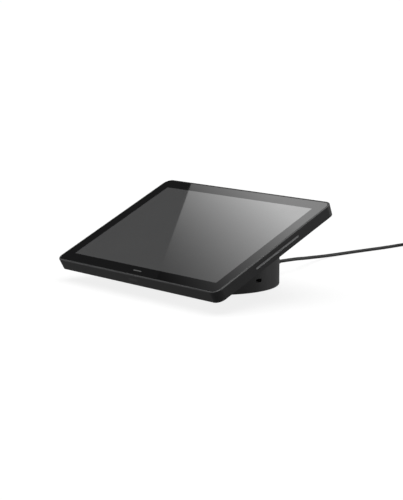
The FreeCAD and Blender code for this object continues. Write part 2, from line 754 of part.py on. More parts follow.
def card_reader_frame():
    """The block with the card's channel, a window for the contacts and a notch for the lever."""
    piece = Piece("card_reader_frame", HEAD)
    block = piece.sketch(offset="-reader_bottom")
    rectangle(block, "reader_start", "reader_end", "-reader_width/2", "reader_width/2")
    piece.pad(block, "reader_bottom - reader_top")
    channel = piece.sketch(offset="-(slot_depth + channel_height/2)")
    rectangle(channel, "channel_start", "reader_end + 1", "-channel_width/2", "channel_width/2")
    piece.cut(channel, "channel_height", forward=True)
    window = piece.sketch(offset="-reader_bottom")
    length, width = "(carrier_length + 2*carrier_gap)", "(carrier_width + 2*carrier_gap)"
    rounded(window, length, width, "block_corner", "carrier_x", "carrier_y")
    piece.cut(window, "reader_bottom - slot_depth", forward=True)
    notch = piece.sketch(offset="-reader_bottom")
    left, low = "(reader_start - 1)", "(lever_y - lever_notch/2)"
    rectangle(notch, left, "(reader_start + lever_slot)", low, "(lever_y + lever_notch/2)")
    piece.cut(notch, "reader_bottom - slot_depth + channel_height/2", forward=True)
    pin = piece.sketch("XZ_Plane", "-(lever_y + lever_notch)")
    circles(pin, "lever_pin_radius", [("lever_x", "-lever_depth")])
    piece.cut(pin, "2*lever_notch", forward=True)


def card_contact_carrier():
    """The block that lifts the contacts against the card's chip."""
    height = "carrier_bottom - carrier_top"
    block = ("carrier_length", "carrier_width", "block_corner", "-carrier_bottom", height)
    plate("card_contact_carrier", HEAD, *block, "carrier_x", "carrier_y")


def card_contacts():
    """Eight sprung contacts in two rows on the carrier."""
    piece = Piece("card_contacts", HEAD)
    outline = piece.sketch(offset="-carrier_top")
    for row in (-1, 1):
        for place in (-1.5, -0.5, 0.5, 1.5):
            x = "(carrier_x + %d*contact_offset)" % row
            y = "(carrier_y + %g*contact_pitch)" % place
            rounded(outline, "contact_length", "contact_width", "round_end*contact_width", x, y)
    piece.pad(outline, "contact_height")


def card_lever():
    """The lever that a card's front edge pushes when it is home."""
    piece = Piece("card_lever", HEAD)
    back = "-(lever_y + lever_width/2)"
    hub = piece.sketch("XZ_Plane", back)
    circles(hub, "lever_hub", [("lever_x", "-lever_depth")])
    piece.pad(hub, "lever_width")
    arm = piece.sketch("XZ_Plane", back)
    left, right = "(lever_x - lever_thickness/2)", "(lever_x + lever_thickness/2)"
    rectangle(arm, left, right, "-lever_depth", "-lever_tip")
    piece.pad(arm, "lever_width")
    bore = piece.sketch("XZ_Plane", back)
    circles(bore, "lever_bore", [("lever_x", "-lever_depth")])
    piece.cut(bore, "lever_width", forward=True)


def lever_pin():
    piece = Piece("lever_pin", HEAD)
    outline = piece.sketch("XZ_Plane", "-(lever_y + lever_notch/2 + 1)")
    circles(outline, "lever_pin_radius", [("lever_x", "-lever_depth")])
    piece.pad(outline, "lever_notch + 2")


def card_switch():
    """The switch beside the lever, at the reader's inner end."""
    x = "(reader_start - switch_size/2 - 0.2)"
    block = ("switch_size", "switch_size", "block_corner", "-reader_bottom", "switch_height")
    plate("card_switch", HEAD, *block, x, "lever_y")


# ---------------------------------------------------------------- head: boards and small parts

def main_board():
    bottom = "-%s" % BOARD_BACK
    outline = ("board_width", "board_height", "board_corner", bottom, "board_thickness")
    piece = plate("main_board", HEAD, *outline, "board_x")
    holes(piece, "medium_shank + screw_fit", BOARD_SCREWS, bottom, "board_thickness")


def board_shields():
    """Three pressed shields over the board's chips, each with a width, a height and a place."""
    piece = Piece("board_shields", HEAD)
    outline = piece.sketch(offset="-board_top")
    for width, height, x, y in SHIELDS:
        rounded(outline, str(width), str(height), "sheet_corner", "(%d)" % x, "(%d)" % y)
    piece.pad(outline, "shield_height")


def board_spacers():
    piece = Piece("board_spacers", HEAD)
    outline = piece.sketch(offset="-board_top")
    circles(outline, "spacer_radius", BOARD_SCREWS)
    circles(outline, "medium_shank + screw_fit", BOARD_SCREWS)
    piece.pad(outline, "board_top - %s" % PLATE_BACK)


def lead_socket():
    """The board's socket for the lead from the stand."""
    bottom = "-(%s + socket_height)" % BOARD_BACK
    block = ("socket_length", "socket_width", "block_corner", bottom, "socket_height")
    plate("lead_socket", HEAD, *block, "0", "lead_y")


def backup_cell():
    """The coin cell that keeps the security memory alive."""
    piece = Piece("backup_cell", HEAD)
    outline = piece.sketch(offset="-(%s + cell_thickness)" % BOARD_BACK)
    circles(outline, "cell_radius", [("cell_x", "cell_y")])
    piece.pad(outline, "cell_thickness")


def cell_holder():
    bottom = "-(%s + holder_thickness)" % BOARD_BACK
    block = ("holder_size", "holder_size", "sheet_corner", bottom, "holder_thickness")
    piece = plate("cell_holder", HEAD, *block, "cell_x", "cell_y")
    holes(piece, "cell_radius + 0.15", [("cell_x", "cell_y")], bottom, "holder_thickness")


def tamper_switches():
    """Pressed by posts on the rear cover, and released when it is opened."""
    piece = Piece("tamper_switches", HEAD)
    outline = piece.sketch(offset="-(%s + tamper_height)" % BOARD_BACK)
    circles(outline, "tamper_radius", TAMPER_POINTS)
    piece.pad(outline, "tamper_height")


def speaker(label, side):
    x = "%sspeaker_x" % side
    height = "speaker_bottom - speaker_top"
    plate(label, HEAD, "speaker_length", "speaker_width", "board_corner", "-speaker_bottom", height, x, "speaker_y")


def wireless_aerials():
    """Two thin aerial strips on the back of the middle plate, near the head's upper edge."""
    piece = Piece("wireless_aerials", HEAD)
    outline = piece.sketch(offset="-(%s + strip_thickness)" % PLATE_BACK)
    for side in ("", "-"):
        rounded(outline, "strip_length", "strip_width", "sheet_corner", "%sstrip_x" % side, "strip_y")
    piece.pad(outline, "strip_thickness")


def display_ribbon():
    """The flat cable from the display round the middle plate to the board."""
    piece = Piece("display_ribbon", HEAD)
    outline = piece.sketch("YZ_Plane", "ribbon_x - ribbon_width/2")
    low = "-(board_top - 0.05)"
    bend = "(ribbon_y + ribbon_thickness)"
    points = [
        ("ribbon_y", "-%s" % PANEL_BACK),
        ("ribbon_y", "(%s + ribbon_thickness)" % low),
        ("ribbon_end", "(%s + ribbon_thickness)" % low),
        ("ribbon_end", low),
        (bend, low),
        (bend, "-%s" % PANEL_BACK),
    ]
    polygon(outline, points)
    piece.pad(outline, "ribbon_width")


def reader_ribbon():
    """The flat cable between the card reader and the board."""
    bottom = "-(reader_bottom + ribbon_thickness)"
    strip = ("reader_ribbon_length", "reader_ribbon_width", "block_corner", bottom, "ribbon_thickness")
    plate("reader_ribbon", HEAD, *strip, "(reader_start - 6)", "0")


def power_button():
    """A small key in the left edge, kept in by a flange behind the wall."""
    piece = Piece("power_button", HEAD)
    key = piece.sketch("YZ_Plane", "-button_face")
    rounded(key, "button_length", "button_height", "round_end*button_height", "button_y", "-button_depth")
    piece.pad(key, "button_face - button_inner")
    flange = piece.sketch("YZ_Plane", "-button_stop")
    rounded(flange, "(button_length + 2)", "(button_height + 0.8)", "sheet_corner", "button_y", "-button_depth")
    piece.pad(flange, "button_flange")


def power_switch():
    """The switch that the power button presses, with its plunger towards the key."""
    piece = Piece("power_switch", HEAD)
    plunger = piece.sketch("YZ_Plane", "-button_switch_face")
    rounded(plunger, "plunger_length", "plunger_height", "block_corner", "button_y", "-button_depth")
    piece.pad(plunger, "plunger_reach")
    block = piece.sketch("YZ_Plane", "-(button_switch_face - plunger_reach)")
    rounded(block, "power_switch_length", "power_switch_height", "block_corner", "button_y", "-button_depth")
    piece.pad(block, "power_switch_depth")


def rear_cover():
    """The cover over the back's opening, with the posts that press the tamper switches."""
    width, height = "(cover_width - 2*cover_gap)", "(cover_height - 2*cover_gap)"
    outline = (width, height, "cover_corner - cover_gap", "-back_depth", "cover_thickness")
    piece = plate("rear_cover", HEAD, *outline)
    posts = piece.sketch(offset="-back_depth + cover_thickness/2")
    circles(posts, "post_radius", TAMPER_POINTS)
    piece.pad(posts, "back_depth - cover_thickness/2 - %s - tamper_height - 0.05" % BOARD_BACK)
    holes(piece, "small_shank + screw_fit", COVER_SCREWS, "-back_depth", "cover_thickness")
    holes(piece, "small_head + screw_fit", COVER_SCREWS, "-back_depth", "head_height_small")
    holes(piece, "large_shank + screw_fit", MOUNT_SCREWS, "-back_depth", "cover_thickness")
    holes(piece, "lead_hole", [("0", "lead_y")], "-back_depth", "cover_thickness")


def mount_plate():
    """The steel plate behind the rear cover that the stand is screwed to."""
    bottom = "-%s" % COVER_TOP
    piece = plate("mount_plate", HEAD, "mount_width", "mount_height", "mount_corner", bottom, "mount_thickness")
    holes(piece, "large_shank + screw_fit", MOUNT_SCREWS, bottom, "mount_thickness")
    holes(piece, "lead_hole", [("0", "lead_y")], bottom, "mount_thickness")


def lead_plug():
    bottom = "-(%s + socket_height + plug_height)" % BOARD_BACK
    block = ("plug_length", "plug_width", "block_corner", bottom, "plug_height")
    plate("lead_plug", HEAD, *block, "0", "lead_y")


def head_screws():
    """Screws of the head: rear cover, board, and stand to head."""
    seat = "-(back_depth - head_height_small)"
    small = ("small_head", "small_shank", seat, "head_height_small", "boss_height")
    screws("rear_cover_screws", HEAD, COVER_SCREWS, *small)
    reach = "(%s - %s)" % (BOARD_BACK, PLATE_TOP)
    medium = ("medium_head", "medium_shank", "-%s" % BOARD_BACK, "head_height_small", reach)
    screws("board_screws", HEAD, BOARD_SCREWS, *medium)
    seat = "-(back_depth + stand_wall)"
    reach = "(stand_wall + cover_thickness + mount_thickness)"
    large = ("large_head", "large_shank", seat, "2*head_height_large", reach)
    screws("stand_screws", HEAD, MOUNT_SCREWS, *large)


# ---------------------------------------------------------------- stand

def stand_housing():
    """The round stand: a cylinder cut by the head's back plane, with a level deck behind it."""
    piece = cut_cylinder("stand_housing", "stand_radius", "stand_gap", "deck_height", SEAT)
    piece.round_edges("deck_round", deck_edge)
    piece.round_edges("stand_round", lower_edge)
    room_seat = "(%s - stand_wall/cos(tilt))" % SEAT
    radius, top = "(stand_radius - stand_wall)", "(deck_height - stand_wall)"
    room = cut_cylinder("stand_room", radius, "0", top, room_seat)
    piece.take_away(room)
    bosses = piece.sketch(offset=FLOOR_TOP)
    circles(bosses, "stand_boss_radius", FLOOR_SCREWS)
    piece.pad(bosses, "stand_boss_height")
    holes(piece, "large_shank", FLOOR_SCREWS, FLOOR_TOP, "stand_boss_height - 2")
    lock_hole = piece.sketch("YZ_Plane", "stand_radius - 2*stand_wall")
    width, height = "(lock_width + 2*lock_fit)", "(lock_height + 2*lock_fit)"
    rounded(lock_hole, width, height, "round_end*lock_height", "0", "lock_z")
    piece.cut(lock_hole, "3*stand_wall", forward=True)
    outlet = piece.sketch("XZ_Plane", "-(stand_radius + 1)")
    circles(outlet, "outlet_hole", [("0", "outlet_z")])
    piece.cut(outlet, "2*stand_wall", forward=True)
    seat_holes(piece)


def cut_cylinder(label, radius, bottom, top, seat):
    """A cylinder cut off by a plane as steep as the glass that crosses the axis at a height."""
    piece = Piece(label, STAND)
    outline = piece.sketch(offset=bottom)
    circles(outline, radius)
    piece.pad(outline, "%s - %s" % (top, bottom))
    wedge = piece.sketch("YZ_Plane", "-(stand_radius + 1)")
    front, over = "-(stand_radius + 5)", "(%s + 5)" % top
    low = "(%s - (stand_radius + 5)*tan(tilt))" % seat
    polygon(wedge, [(front, low), ("((%s - %s)/tan(tilt))" % (over, seat), over), (front, over)])
    piece.cut(wedge, "2*stand_radius + 2", forward=True)
    return piece


def deck_edge(edge):
    """The curved edge of the level deck."""
    return at_height(size("deck_height"))(edge) and isinstance(edge.Curve, Part.Circle)


def lower_edge(edge):
    """The outer edge of the stand near the table."""
    level = at_height(size("stand_gap"))(edge) and isinstance(edge.Curve, Part.Circle)
    return level and edge.Curve.Radius > size("stand_radius") - 0.1


def seat_holes(piece):
    """Screw holes and the lead's hole, square to the sloping seat."""
    for radius, centres in (("large_shank + screw_fit", MOUNT_SCREWS), ("lead_hole", [("0", "lead_y")])):
        outline = piece.sketch()
        outline.AttachmentOffset = FreeCAD.Placement(
            FreeCAD.Vector(0, -size("head_forward"), size("glass_height")),
            FreeCAD.Rotation(FreeCAD.Vector(1, 0, 0), size("tilt")),
        )
        bind(outline, "AttachmentOffset.Base.y", "-head_forward")
        bind(outline, "AttachmentOffset.Base.z", "glass_height")
        bind(outline, "AttachmentOffset.Rotation.Angle", "tilt")
        circles(outline, radius, centres)
        piece.cut(outline, "back_depth + 2*stand_wall")


def stand_floor():
    """The steel disc that closes the stand, with the arc slot that the stop pin runs in."""
    piece = Piece("stand_floor", STAND)
    outline = piece.sketch(offset="floor_bottom")
    circles(outline, "floor_radius")
    piece.pad(outline, "floor_thickness")
    holes(piece, "bush_radius", [("0", "0")], "floor_bottom", "floor_thickness")
    holes(piece, "large_shank + screw_fit", FLOOR_SCREWS + WEIGHT_SCREWS, "floor_bottom", "floor_thickness")
    holes(piece, "small_shank + screw_fit", CLAMP_SCREWS, "floor_bottom", "floor_thickness")
    slot = piece.sketch(offset="floor_bottom")
    arc_slot(slot, size("stop_circle"), size("stop_radius + stop_fit"), size("swivel_limit"))
    piece.cut(slot, "floor_thickness", forward=True)


def arc_slot(sketch, circle_radius, half_width, limit):
    """A slot along a circle, the same angle each side of the front."""
    up = FreeCAD.Vector(0, 0, 1)
    centre = FreeCAD.Vector(0, 0, 0)
    front = -math.pi / 2
    reach = math.radians(limit)
    for radius in (circle_radius + half_width, circle_radius - half_width):
        sketch.addGeometry(Part.ArcOfCircle(Part.Circle(centre, up, radius), front - reach, front + reach))
    for side in (-1, 1):
        angle = front + side * reach
        end = FreeCAD.Vector(circle_radius * math.cos(angle), circle_radius * math.sin(angle), 0)
        begin = angle if side > 0 else angle + math.pi
        sketch.addGeometry(Part.ArcOfCircle(Part.Circle(end, up, half_width), begin, begin + math.pi))
    for first, first_end, second, second_end in ((0, 2, 3, 1), (3, 2, 1, 2), (1, 1, 2, 1), (2, 2, 0, 1)):
        sketch.addConstraint(Sketcher.Constraint("Coincident", first, first_end, second, second_end))


def base_weight():
    """The steel disc that keeps the terminal from tipping, notched for the cable."""
    piece = Piece("base_weight", STAND)
    outline = piece.sketch(offset=FLOOR_TOP)
    circles(outline, "weight_radius")
    circles(outline, "weight_bore")
    piece.pad(outline, "weight_thickness")
    notch = piece.sketch(offset=FLOOR_TOP)
    half = "weight_notch_width/2"
    rectangle(notch, "-%s" % half, half, "weight_notch_start", "weight_radius + 5")
    piece.cut(notch, "weight_thickness", forward=True)
    holes(piece, "large_shank", WEIGHT_SCREWS, FLOOR_TOP, "weight_thickness/2 + 1")


def pivot_bush():
    """The flanged plain bush in the stand's floor that the pivot bolt turns in."""
    bore = "(pivot_radius + pivot_fit)"
    piece = ring("pivot_bush", "bush_radius", bore, "floor_bottom", "floor_thickness")
    flange = piece.sketch(offset=FLOOR_TOP)
    circles(flange, "bush_flange_radius")
    circles(flange, bore)
    piece.pad(flange, "bush_flange")


def foot_plate():
    """The disc that stays still on the table, recessed below for the rubber foot."""
    piece = Piece("foot_plate", STAND)
    outline = piece.sketch(offset="foot_bottom")
    circles(outline, "foot_radius")
    piece.pad(outline, "foot_thickness")
    holes(piece, "tread_radius", [("0", "0")], "foot_bottom", "tread_height - foot_bottom")
    middle = [("0", "0")]
    holes(piece, "pivot_radius + pivot_fit", middle, "foot_bottom", "foot_thickness")
    holes(piece, "bolt_head_radius + 2*pivot_fit", middle, "tread_height", "bolt_head_height + pivot_fit")
    holes(piece, "stop_radius", [("0", "-stop_circle")], "tread_height", "foot_thickness")


def rubber_foot():
    """The rubber disc that the terminal stands on, with two round grooves for grip."""
    piece = Piece("rubber_foot", STAND)
    outline = piece.sketch()
    circles(outline, "tread_radius")
    piece.pad(outline, "tread_height")
    grooves = piece.sketch()
    for radius in ("tread_radius*0.7", "tread_radius*0.75", "tread_radius*0.87", "tread_radius*0.92"):
        circles(grooves, radius)
    piece.cut(grooves, "tread_groove", forward=True)


def swivel_bearing():
    """The slippery ring on the foot plate that the stand's floor turns on."""
    height = "floor_bottom - %s - bearing_gap" % FOOT_TOP
    ring("swivel_bearing", "bearing_outer", "bearing_inner", FOOT_TOP, height)


def pivot_parts():
    """The bolt, washer and nut that hold the foot to the stand, and the pin that stops the swivel."""
    bolt = Piece("pivot_bolt", STAND)
    head = bolt.sketch(offset="tread_height")
    circles(head, "bolt_head_radius")
    bolt.pad(head, "bolt_head_height")
    shank = bolt.sketch(offset="tread_height")
    circles(shank, "pivot_radius")
    bolt.pad(shank, "bolt_head_height + bolt_length")
    drive = bolt.sketch(offset="tread_height")
    circles(drive, "pivot_radius/2")
    bolt.cut(drive, "2*bolt_head_height", forward=True)
    washer_bottom = "(%s + bush_flange + bearing_gap)" % FLOOR_TOP
    ring("pivot_washer", "washer_radius", "(pivot_radius + pivot_fit)", washer_bottom, "washer_thickness")
    nut = Piece("pivot_nut", STAND)
    hexagon = nut.sketch(offset="%s + washer_thickness" % washer_bottom)
    polygon(hexagon, on_circle("nut_radius", range(0, 360, 60)))
    circles(hexagon, "(pivot_radius + pivot_fit/2)")
    nut.pad(hexagon, "nut_height")
    pin = Piece("stop_pin", STAND)
    outline = pin.sketch(offset="tread_height")
    circles(outline, "stop_radius", [("0", "-stop_circle")])
    pin.pad(outline, "%s - tread_height - 2*bearing_gap" % FLOOR_TOP)


def lock_plate():
    """The steel plate behind the wall that a security lock holds on to."""
    piece = Piece("lock_plate", STAND)
    outline = piece.sketch("YZ_Plane", "lock_plate_face - lock_plate_thickness")
    rounded(outline, "lock_plate_width", "lock_plate_height", "sheet_corner", "0", "lock_z + lock_plate_rise")
    piece.pad(outline, "lock_plate_thickness")
    slot = piece.sketch("YZ_Plane", "lock_plate_face - lock_plate_thickness")
    rounded(slot, "lock_width", "lock_height", "round_end*lock_height", "0", "lock_z")
    piece.cut(slot, "lock_plate_thickness", forward=True)


def cable_strain_relief():
    """The tapered sleeve where the cord leaves the stand, turned about the cord's line."""
    piece = Piece("cable_strain_relief", STAND)
    profile = piece.sketch("YZ_Plane")
    steps = [
        ("relief_start", "relief_flange"),
        ("relief_wall", "relief_flange"),
        ("relief_wall", "relief_neck"),
        ("relief_collar_start", "relief_neck"),
        ("relief_collar_start", "relief_collar"),
        ("relief_collar_end", "relief_collar"),
        ("relief_collar_end", "relief_root"),
        ("relief_end", "relief_tip"),
    ]
    bind(profile, "AttachmentOffset.Base.y", "outlet_z")
    polygon(profile, [("relief_start", "0")] + steps + [("relief_end", "0")])
    piece.turn(profile, "H_Axis")


def cable_clamp():
    """The block that grips the lead on the stand's floor."""
    block = ("clamp_width", "clamp_length", "sheet_corner", FLOOR_TOP, "clamp_height")
    piece = plate("cable_clamp", STAND, *block, "0", "clamp_y")
    bore = piece.sketch("XZ_Plane", "-(clamp_y + clamp_length)")
    circles(bore, "cord_radius + screw_fit/2", [("0", "outlet_z")])
    piece.cut(bore, "2*clamp_length", forward=True)
    holes(piece, "small_shank + screw_fit", CLAMP_SCREWS, FLOOR_TOP, "clamp_height")


def stand_screws():
    """Screws of the stand: floor, weight and cable clamp."""
    under = ("large_head", "large_shank", "floor_bottom", "head_height_large")
    screws("floor_screws", STAND, FLOOR_SCREWS, *under, "floor_thickness + stand_boss_height - 3")
    screws("weight_screws", STAND, WEIGHT_SCREWS, *under, "floor_thickness + weight_thickness/2")
    seat = "(%s + clamp_height)" % FLOOR_TOP
    reach = "clamp_height + floor_thickness - screw_fit"
    small = ("small_head", "small_shank", seat, "head_height_small", reach)
    screws("clamp_screws", STAND, CLAMP_SCREWS, *small, heads_up=True)


# ---------------------------------------------------------------- cables

def unit(vector):
    return FreeCAD.Vector(vector) / vector.Length


def tube(label, route):
    """A cable as straight runs joined by tangent arcs that take 0.45 of the shorter run."""
    points = [FreeCAD.Vector(*point) for point in route]
    radius = size("cord_radius")
    edges = []
    radii = []
    start = points[0]
    for before, corner, after in zip(points, points[1:], points[2:]):
        way_in, way_out = unit(corner - before), unit(after - corner)
        half_turn = way_in.getAngle(way_out) / 2
        reach = 0.45 * min((corner - before).Length, (after - corner).Length)
        bend = reach / math.tan(half_turn)
        arc_start, arc_end = corner - way_in * reach, corner + way_out * reach
        inward = unit(way_out - way_in)
        middle = corner + inward * (bend / math.cos(half_turn) - bend)
        edges.append(Part.LineSegment(start, arc_start).toShape())
        edges.append(Part.Arc(arc_start, middle, arc_end).toShape())
        radii.append(round(bend, 1))
        start = arc_end
    edges.append(Part.LineSegment(start, points[-1]).toShape())
    path = Part.Wire(edges)
    section = Part.Wire(Part.makeCircle(radius, points[0], points[1] - points[0]))
    solid = path.makePipeShell([section], True, False)
    expected = math.pi * radius ** 2 * path.Length
    print("%s: length %.1f, bend radii %s" % (label, path.Length, radii))
    print("%s: volume %.0f, section times length %.0f" % (label, solid.Volume, expected))
    holder = doc.addObject("Part::Feature", label)
    holder.Label = label
    holder.Shape = solid
    parts.append(holder)


def inner_lead():
    """The lead from the strain relief up through the sloping seat to the plug in the head."""
    tilt = math.radians(size("tilt"))
    depth = size("%s + socket_height + plug_height" % BOARD_BACK)
    outward = FreeCAD.Vector(0, -math.sin(tilt), math.cos(tilt))
    up_screen = FreeCAD.Vector(0, math.cos(tilt), math.sin(tilt))
    middle = FreeCAD.Vector(0, -size("head_forward"), size("glass_height"))
    plug_end = middle + up_screen * size("lead_y") - outward * depth
    approach = plug_end - outward * size("lead_approach")
    height = size("outlet_z")
    start = (0, size("relief_start"), height)
    level_end = (0, size("lead_level_end"), height)
    rise_end = (0, size("lead_rise_end"), height + size("lead_rise"))
    tube("inner_lead", [start, level_end, rise_end, tuple(approach), tuple(plug_end)])


def power_cord():
    """The cord from the strain relief down to the table and away behind, to where it is wound up."""
    side = size("coil_x - coil_middle - 2*cord_radius")
    table = size("cord_radius")
    route = [
        (0, size("relief_end"), size("outlet_z")),
        (0, 104, size("outlet_z")),
        (-4.5, 122, 11.2),
        (-14.5, 141, 8.2),
        (-24.3, 163, 5.5),
        (-32, 188, 2.9),
        (-35.5, 218, table),
        (-34.6, 252, table),
        (-32, 288, table),
        (-33, 322, table),
        (side, size("coil_y - 4"), table),
    ]
    tube("power_cord", route)


def cord_coil():
    """The outer shape of the wound-up length: turns side by side and on top of each other."""
    piece = Piece("cord_coil", STAND)
    outline = piece.sketch()
    centre = [("coil_x", "coil_y")]
    circles(outline, "(coil_middle + %s)" % COIL_HALF, centre)
    circles(outline, "(coil_middle - %s)" % COIL_HALF, centre)
    piece.pad(outline, "2*coil_layers*cord_radius")


def cord_tie():
    """The strap round the turns, on the +X side of the coil."""
    piece = Piece("cord_tie", STAND)
    outline = piece.sketch("XZ_Plane", "-(coil_y + tie_width/2)")
    x = "(coil_x + coil_middle)"
    height = "(2*coil_layers*cord_radius + tie_fit + tie_thickness)"
    width = "(2*%s + 2*tie_fit + 2*tie_thickness)" % COIL_HALF
    rounded(outline, width, height, "tie_corner", x, "%s/2" % height)
    inner = ("(%s - 2*tie_thickness)" % width, "(%s - 2*tie_thickness)" % height)
    rounded(outline, *inner, "(tie_corner - tie_thickness)", x, "%s/2" % height)
    piece.pad(outline, "tie_width")


def far_plug():
    """The plug on the cord's far end: a moulded grip with a tapered relief, and a metal nose."""
    grip = Piece("cord_plug_grip", STAND)
    start = "(coil_x + far_plug_start)"
    y = "(coil_y + coil_middle + 2*cord_radius)"
    z = "far_plug_height/2"
    near = grip.sketch("YZ_Plane", start)
    circles(near, "(cord_radius + 0.5)", [(y, z)])
    wide = grip.sketch("YZ_Plane", "%s + far_plug_relief" % start)
    circles(wide, "far_plug_root", [(y, z)])
    grip.loft(near, wide)
    block = grip.sketch("YZ_Plane", "%s + far_plug_relief" % start)
    rounded(block, "far_plug_width", "far_plug_height", "round_end*far_plug_height", y, z)
    grip.pad(block, "far_plug_length")
    nose = Piece("cord_plug_nose", STAND)
    outline = nose.sketch("YZ_Plane", "%s + far_plug_relief + far_plug_length" % start)
    rounded(outline, "shell_width", "shell_height", "round_end*shell_height", y, z)
    inner = ("(shell_width - 2*shell_wall)", "(shell_height - 2*shell_wall)")
    rounded(outline, *inner, "round_end*(shell_height - 2*shell_wall)", y, z)
    nose.pad(outline, "shell_length")


# ---------------------------------------------------------------- build, check and write

def build():
    fill_sheet()
    for make in (
        head_housing, cover_glass, glass_adhesive, display_frame, touch_sensor, display_panel,
        contactless_aerial, ferrite_sheet, middle_plate, front_inlay, card_slot_insert,
        card_reader_frame, card_contact_carrier, card_contacts, card_lever, lever_pin, card_switch,
        main_board, board_shields, board_spacers, lead_socket, backup_cell, cell_holder,
        tamper_switches, wireless_aerials, display_ribbon, reader_ribbon, power_button, power_switch,
        rear_cover, mount_plate, lead_plug, head_screws, stand_housing, stand_floor, base_weight,
        pivot_bush, foot_plate, rubber_foot, swivel_bearing, pivot_parts, lock_plate, cable_strain_relief,
        cable_clamp, stand_screws, inner_lead, power_cord, cord_coil, cord_tie, far_plug,
    ):
        make()
    speaker("speaker_left", "-")
    speaker("speaker_right", "")
    doc.recompute()


def check():
    """Stop if any feature failed, any cut took nothing away or any sub-part isn't a sound solid."""
    for thing in doc.Objects:
        if "Invalid" in thing.State or "Error" in thing.State:
            raise SystemExit("%s failed: %s" % (thing.Name, thing.State))
        if thing.TypeId in ("PartDesign::Pocket", "PartDesign::SubtractiveLoft"):
            taken = thing.BaseFeature.Shape.Volume - thing.Shape.Volume
            if taken < 1e-3:
                raise SystemExit("%s takes nothing away" % thing.Name)
    for part in parts:
        if part.Shape.isNull() or not part.Shape.isValid() or not part.Shape.Solids:
            raise SystemExit("%s is not a sound solid" % part.Label)


def export():
    os.makedirs("parts", exist_ok=True)
    for part in parts:
        part.Shape.exportStep("parts/%s.step" % part.Label)
        print("%s: %d solid(s), %.0f mm3" % (part.Label, len(part.Shape.Solids), part.Shape.Volume))
    print("%d parts" % len(parts))


build()
check()
export()
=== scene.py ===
"""Looks of the card payment terminal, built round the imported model. Metres, in the model's frame."""
import json
import math

import bpy
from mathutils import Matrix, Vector


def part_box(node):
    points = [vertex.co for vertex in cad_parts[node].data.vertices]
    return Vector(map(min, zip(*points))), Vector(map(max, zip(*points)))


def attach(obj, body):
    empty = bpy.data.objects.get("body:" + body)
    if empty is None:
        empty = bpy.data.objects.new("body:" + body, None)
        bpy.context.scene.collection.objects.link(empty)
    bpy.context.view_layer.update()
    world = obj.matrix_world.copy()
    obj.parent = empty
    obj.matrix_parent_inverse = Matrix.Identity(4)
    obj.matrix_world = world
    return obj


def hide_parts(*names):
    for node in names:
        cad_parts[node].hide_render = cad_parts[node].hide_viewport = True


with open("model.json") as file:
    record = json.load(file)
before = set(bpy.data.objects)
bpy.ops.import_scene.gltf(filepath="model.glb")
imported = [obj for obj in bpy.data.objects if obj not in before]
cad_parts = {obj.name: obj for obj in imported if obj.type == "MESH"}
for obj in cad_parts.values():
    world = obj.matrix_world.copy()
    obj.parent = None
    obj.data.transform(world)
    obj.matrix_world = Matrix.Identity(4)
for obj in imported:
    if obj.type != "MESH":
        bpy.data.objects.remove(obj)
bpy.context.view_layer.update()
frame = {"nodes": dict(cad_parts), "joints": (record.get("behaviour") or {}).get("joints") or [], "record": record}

TERMINAL = "terminal"
SIDES = 48

# ---------------------------------------------------------------- camera

CAMERA_PLACE = Vector((1.14938, -1.01538, 0.29042))
CAMERA_DIRECTION = Vector((-0.74497, 0.64648, -0.16462))
CAMERA_LENS = 111.24
CAMERA_SENSOR = 36


def make_camera():
    data = bpy.data.cameras.new("camera")
    data.sensor_width = CAMERA_SENSOR
    data.lens = CAMERA_LENS
    data.clip_start = 0.05
    data.clip_end = 1000
    camera = bpy.data.objects.new("camera", data)
    camera.location = CAMERA_PLACE
    camera.rotation_euler = CAMERA_DIRECTION.to_track_quat("-Z", "Y").to_euler()
    bpy.context.scene.collection.objects.link(camera)
    bpy.context.scene.camera = camera


# ---------------------------------------------------------------- mesh helpers


def smooth(value):
    """0 below 0, 1 above 1, and a smooth step between."""
    value = min(max(value, 0.0), 1.0)
    return value * value * (3 - 2 * value)


def make_mesh(name, points, faces, material, sharp=None):
    mesh = bpy.data.meshes.new(name)
    mesh.from_pydata([tuple(point) for point in points], [], faces)
    mesh.validate()
    mesh.update()
    for face in mesh.polygons:
        face.use_smooth = True
    if sharp is not None:
        mesh.set_sharp_from_angle(angle=math.radians(sharp))
    piece = bpy.data.objects.new(name, mesh)
    bpy.context.scene.collection.objects.link(piece)
    mesh.materials.append(material)
    return piece


def skin(name, rings, material, sharp=35, closed=False):
    """A mesh over a row of rings of points, all of one length, with flat ends unless the row closes."""
    count = len(rings[0])
    points = [point for ring in rings for point in ring]
    faces = []
    last = len(rings) if closed else len(rings) - 1
    for row in range(last):
        here, there = row * count, (row + 1) % len(rings) * count
        for step in range(count):
            ahead = (step + 1) % count
            faces.append((here + step, here + ahead, there + ahead, there + step))
    if not closed:
        faces.append(tuple(reversed(range(count))))
        faces.append(tuple(range(len(points) - count, len(points))))
    return make_mesh(name, points, faces, material, sharp)


def rounded_ring(half_width, half_height, corner, per_corner=8):
    """Points (u, v) round a rectangle with round corners."""
    corner = min(corner, half_width * 0.999, half_height * 0.999)
    ring = []
    for quarter in range(4):
        centre_u = (half_width - corner) * (1 if quarter in (0, 3) else -1)
        centre_v = (half_height - corner) * (1 if quarter in (0, 1) else -1)
        for step in range(per_corner + 1):
            angle = math.pi / 2 * (quarter + step / per_corner)
            ring.append((centre_u + corner * math.cos(angle), centre_v + corner * math.sin(angle)))
    return ring


# ---------------------------------------------------------------- cord

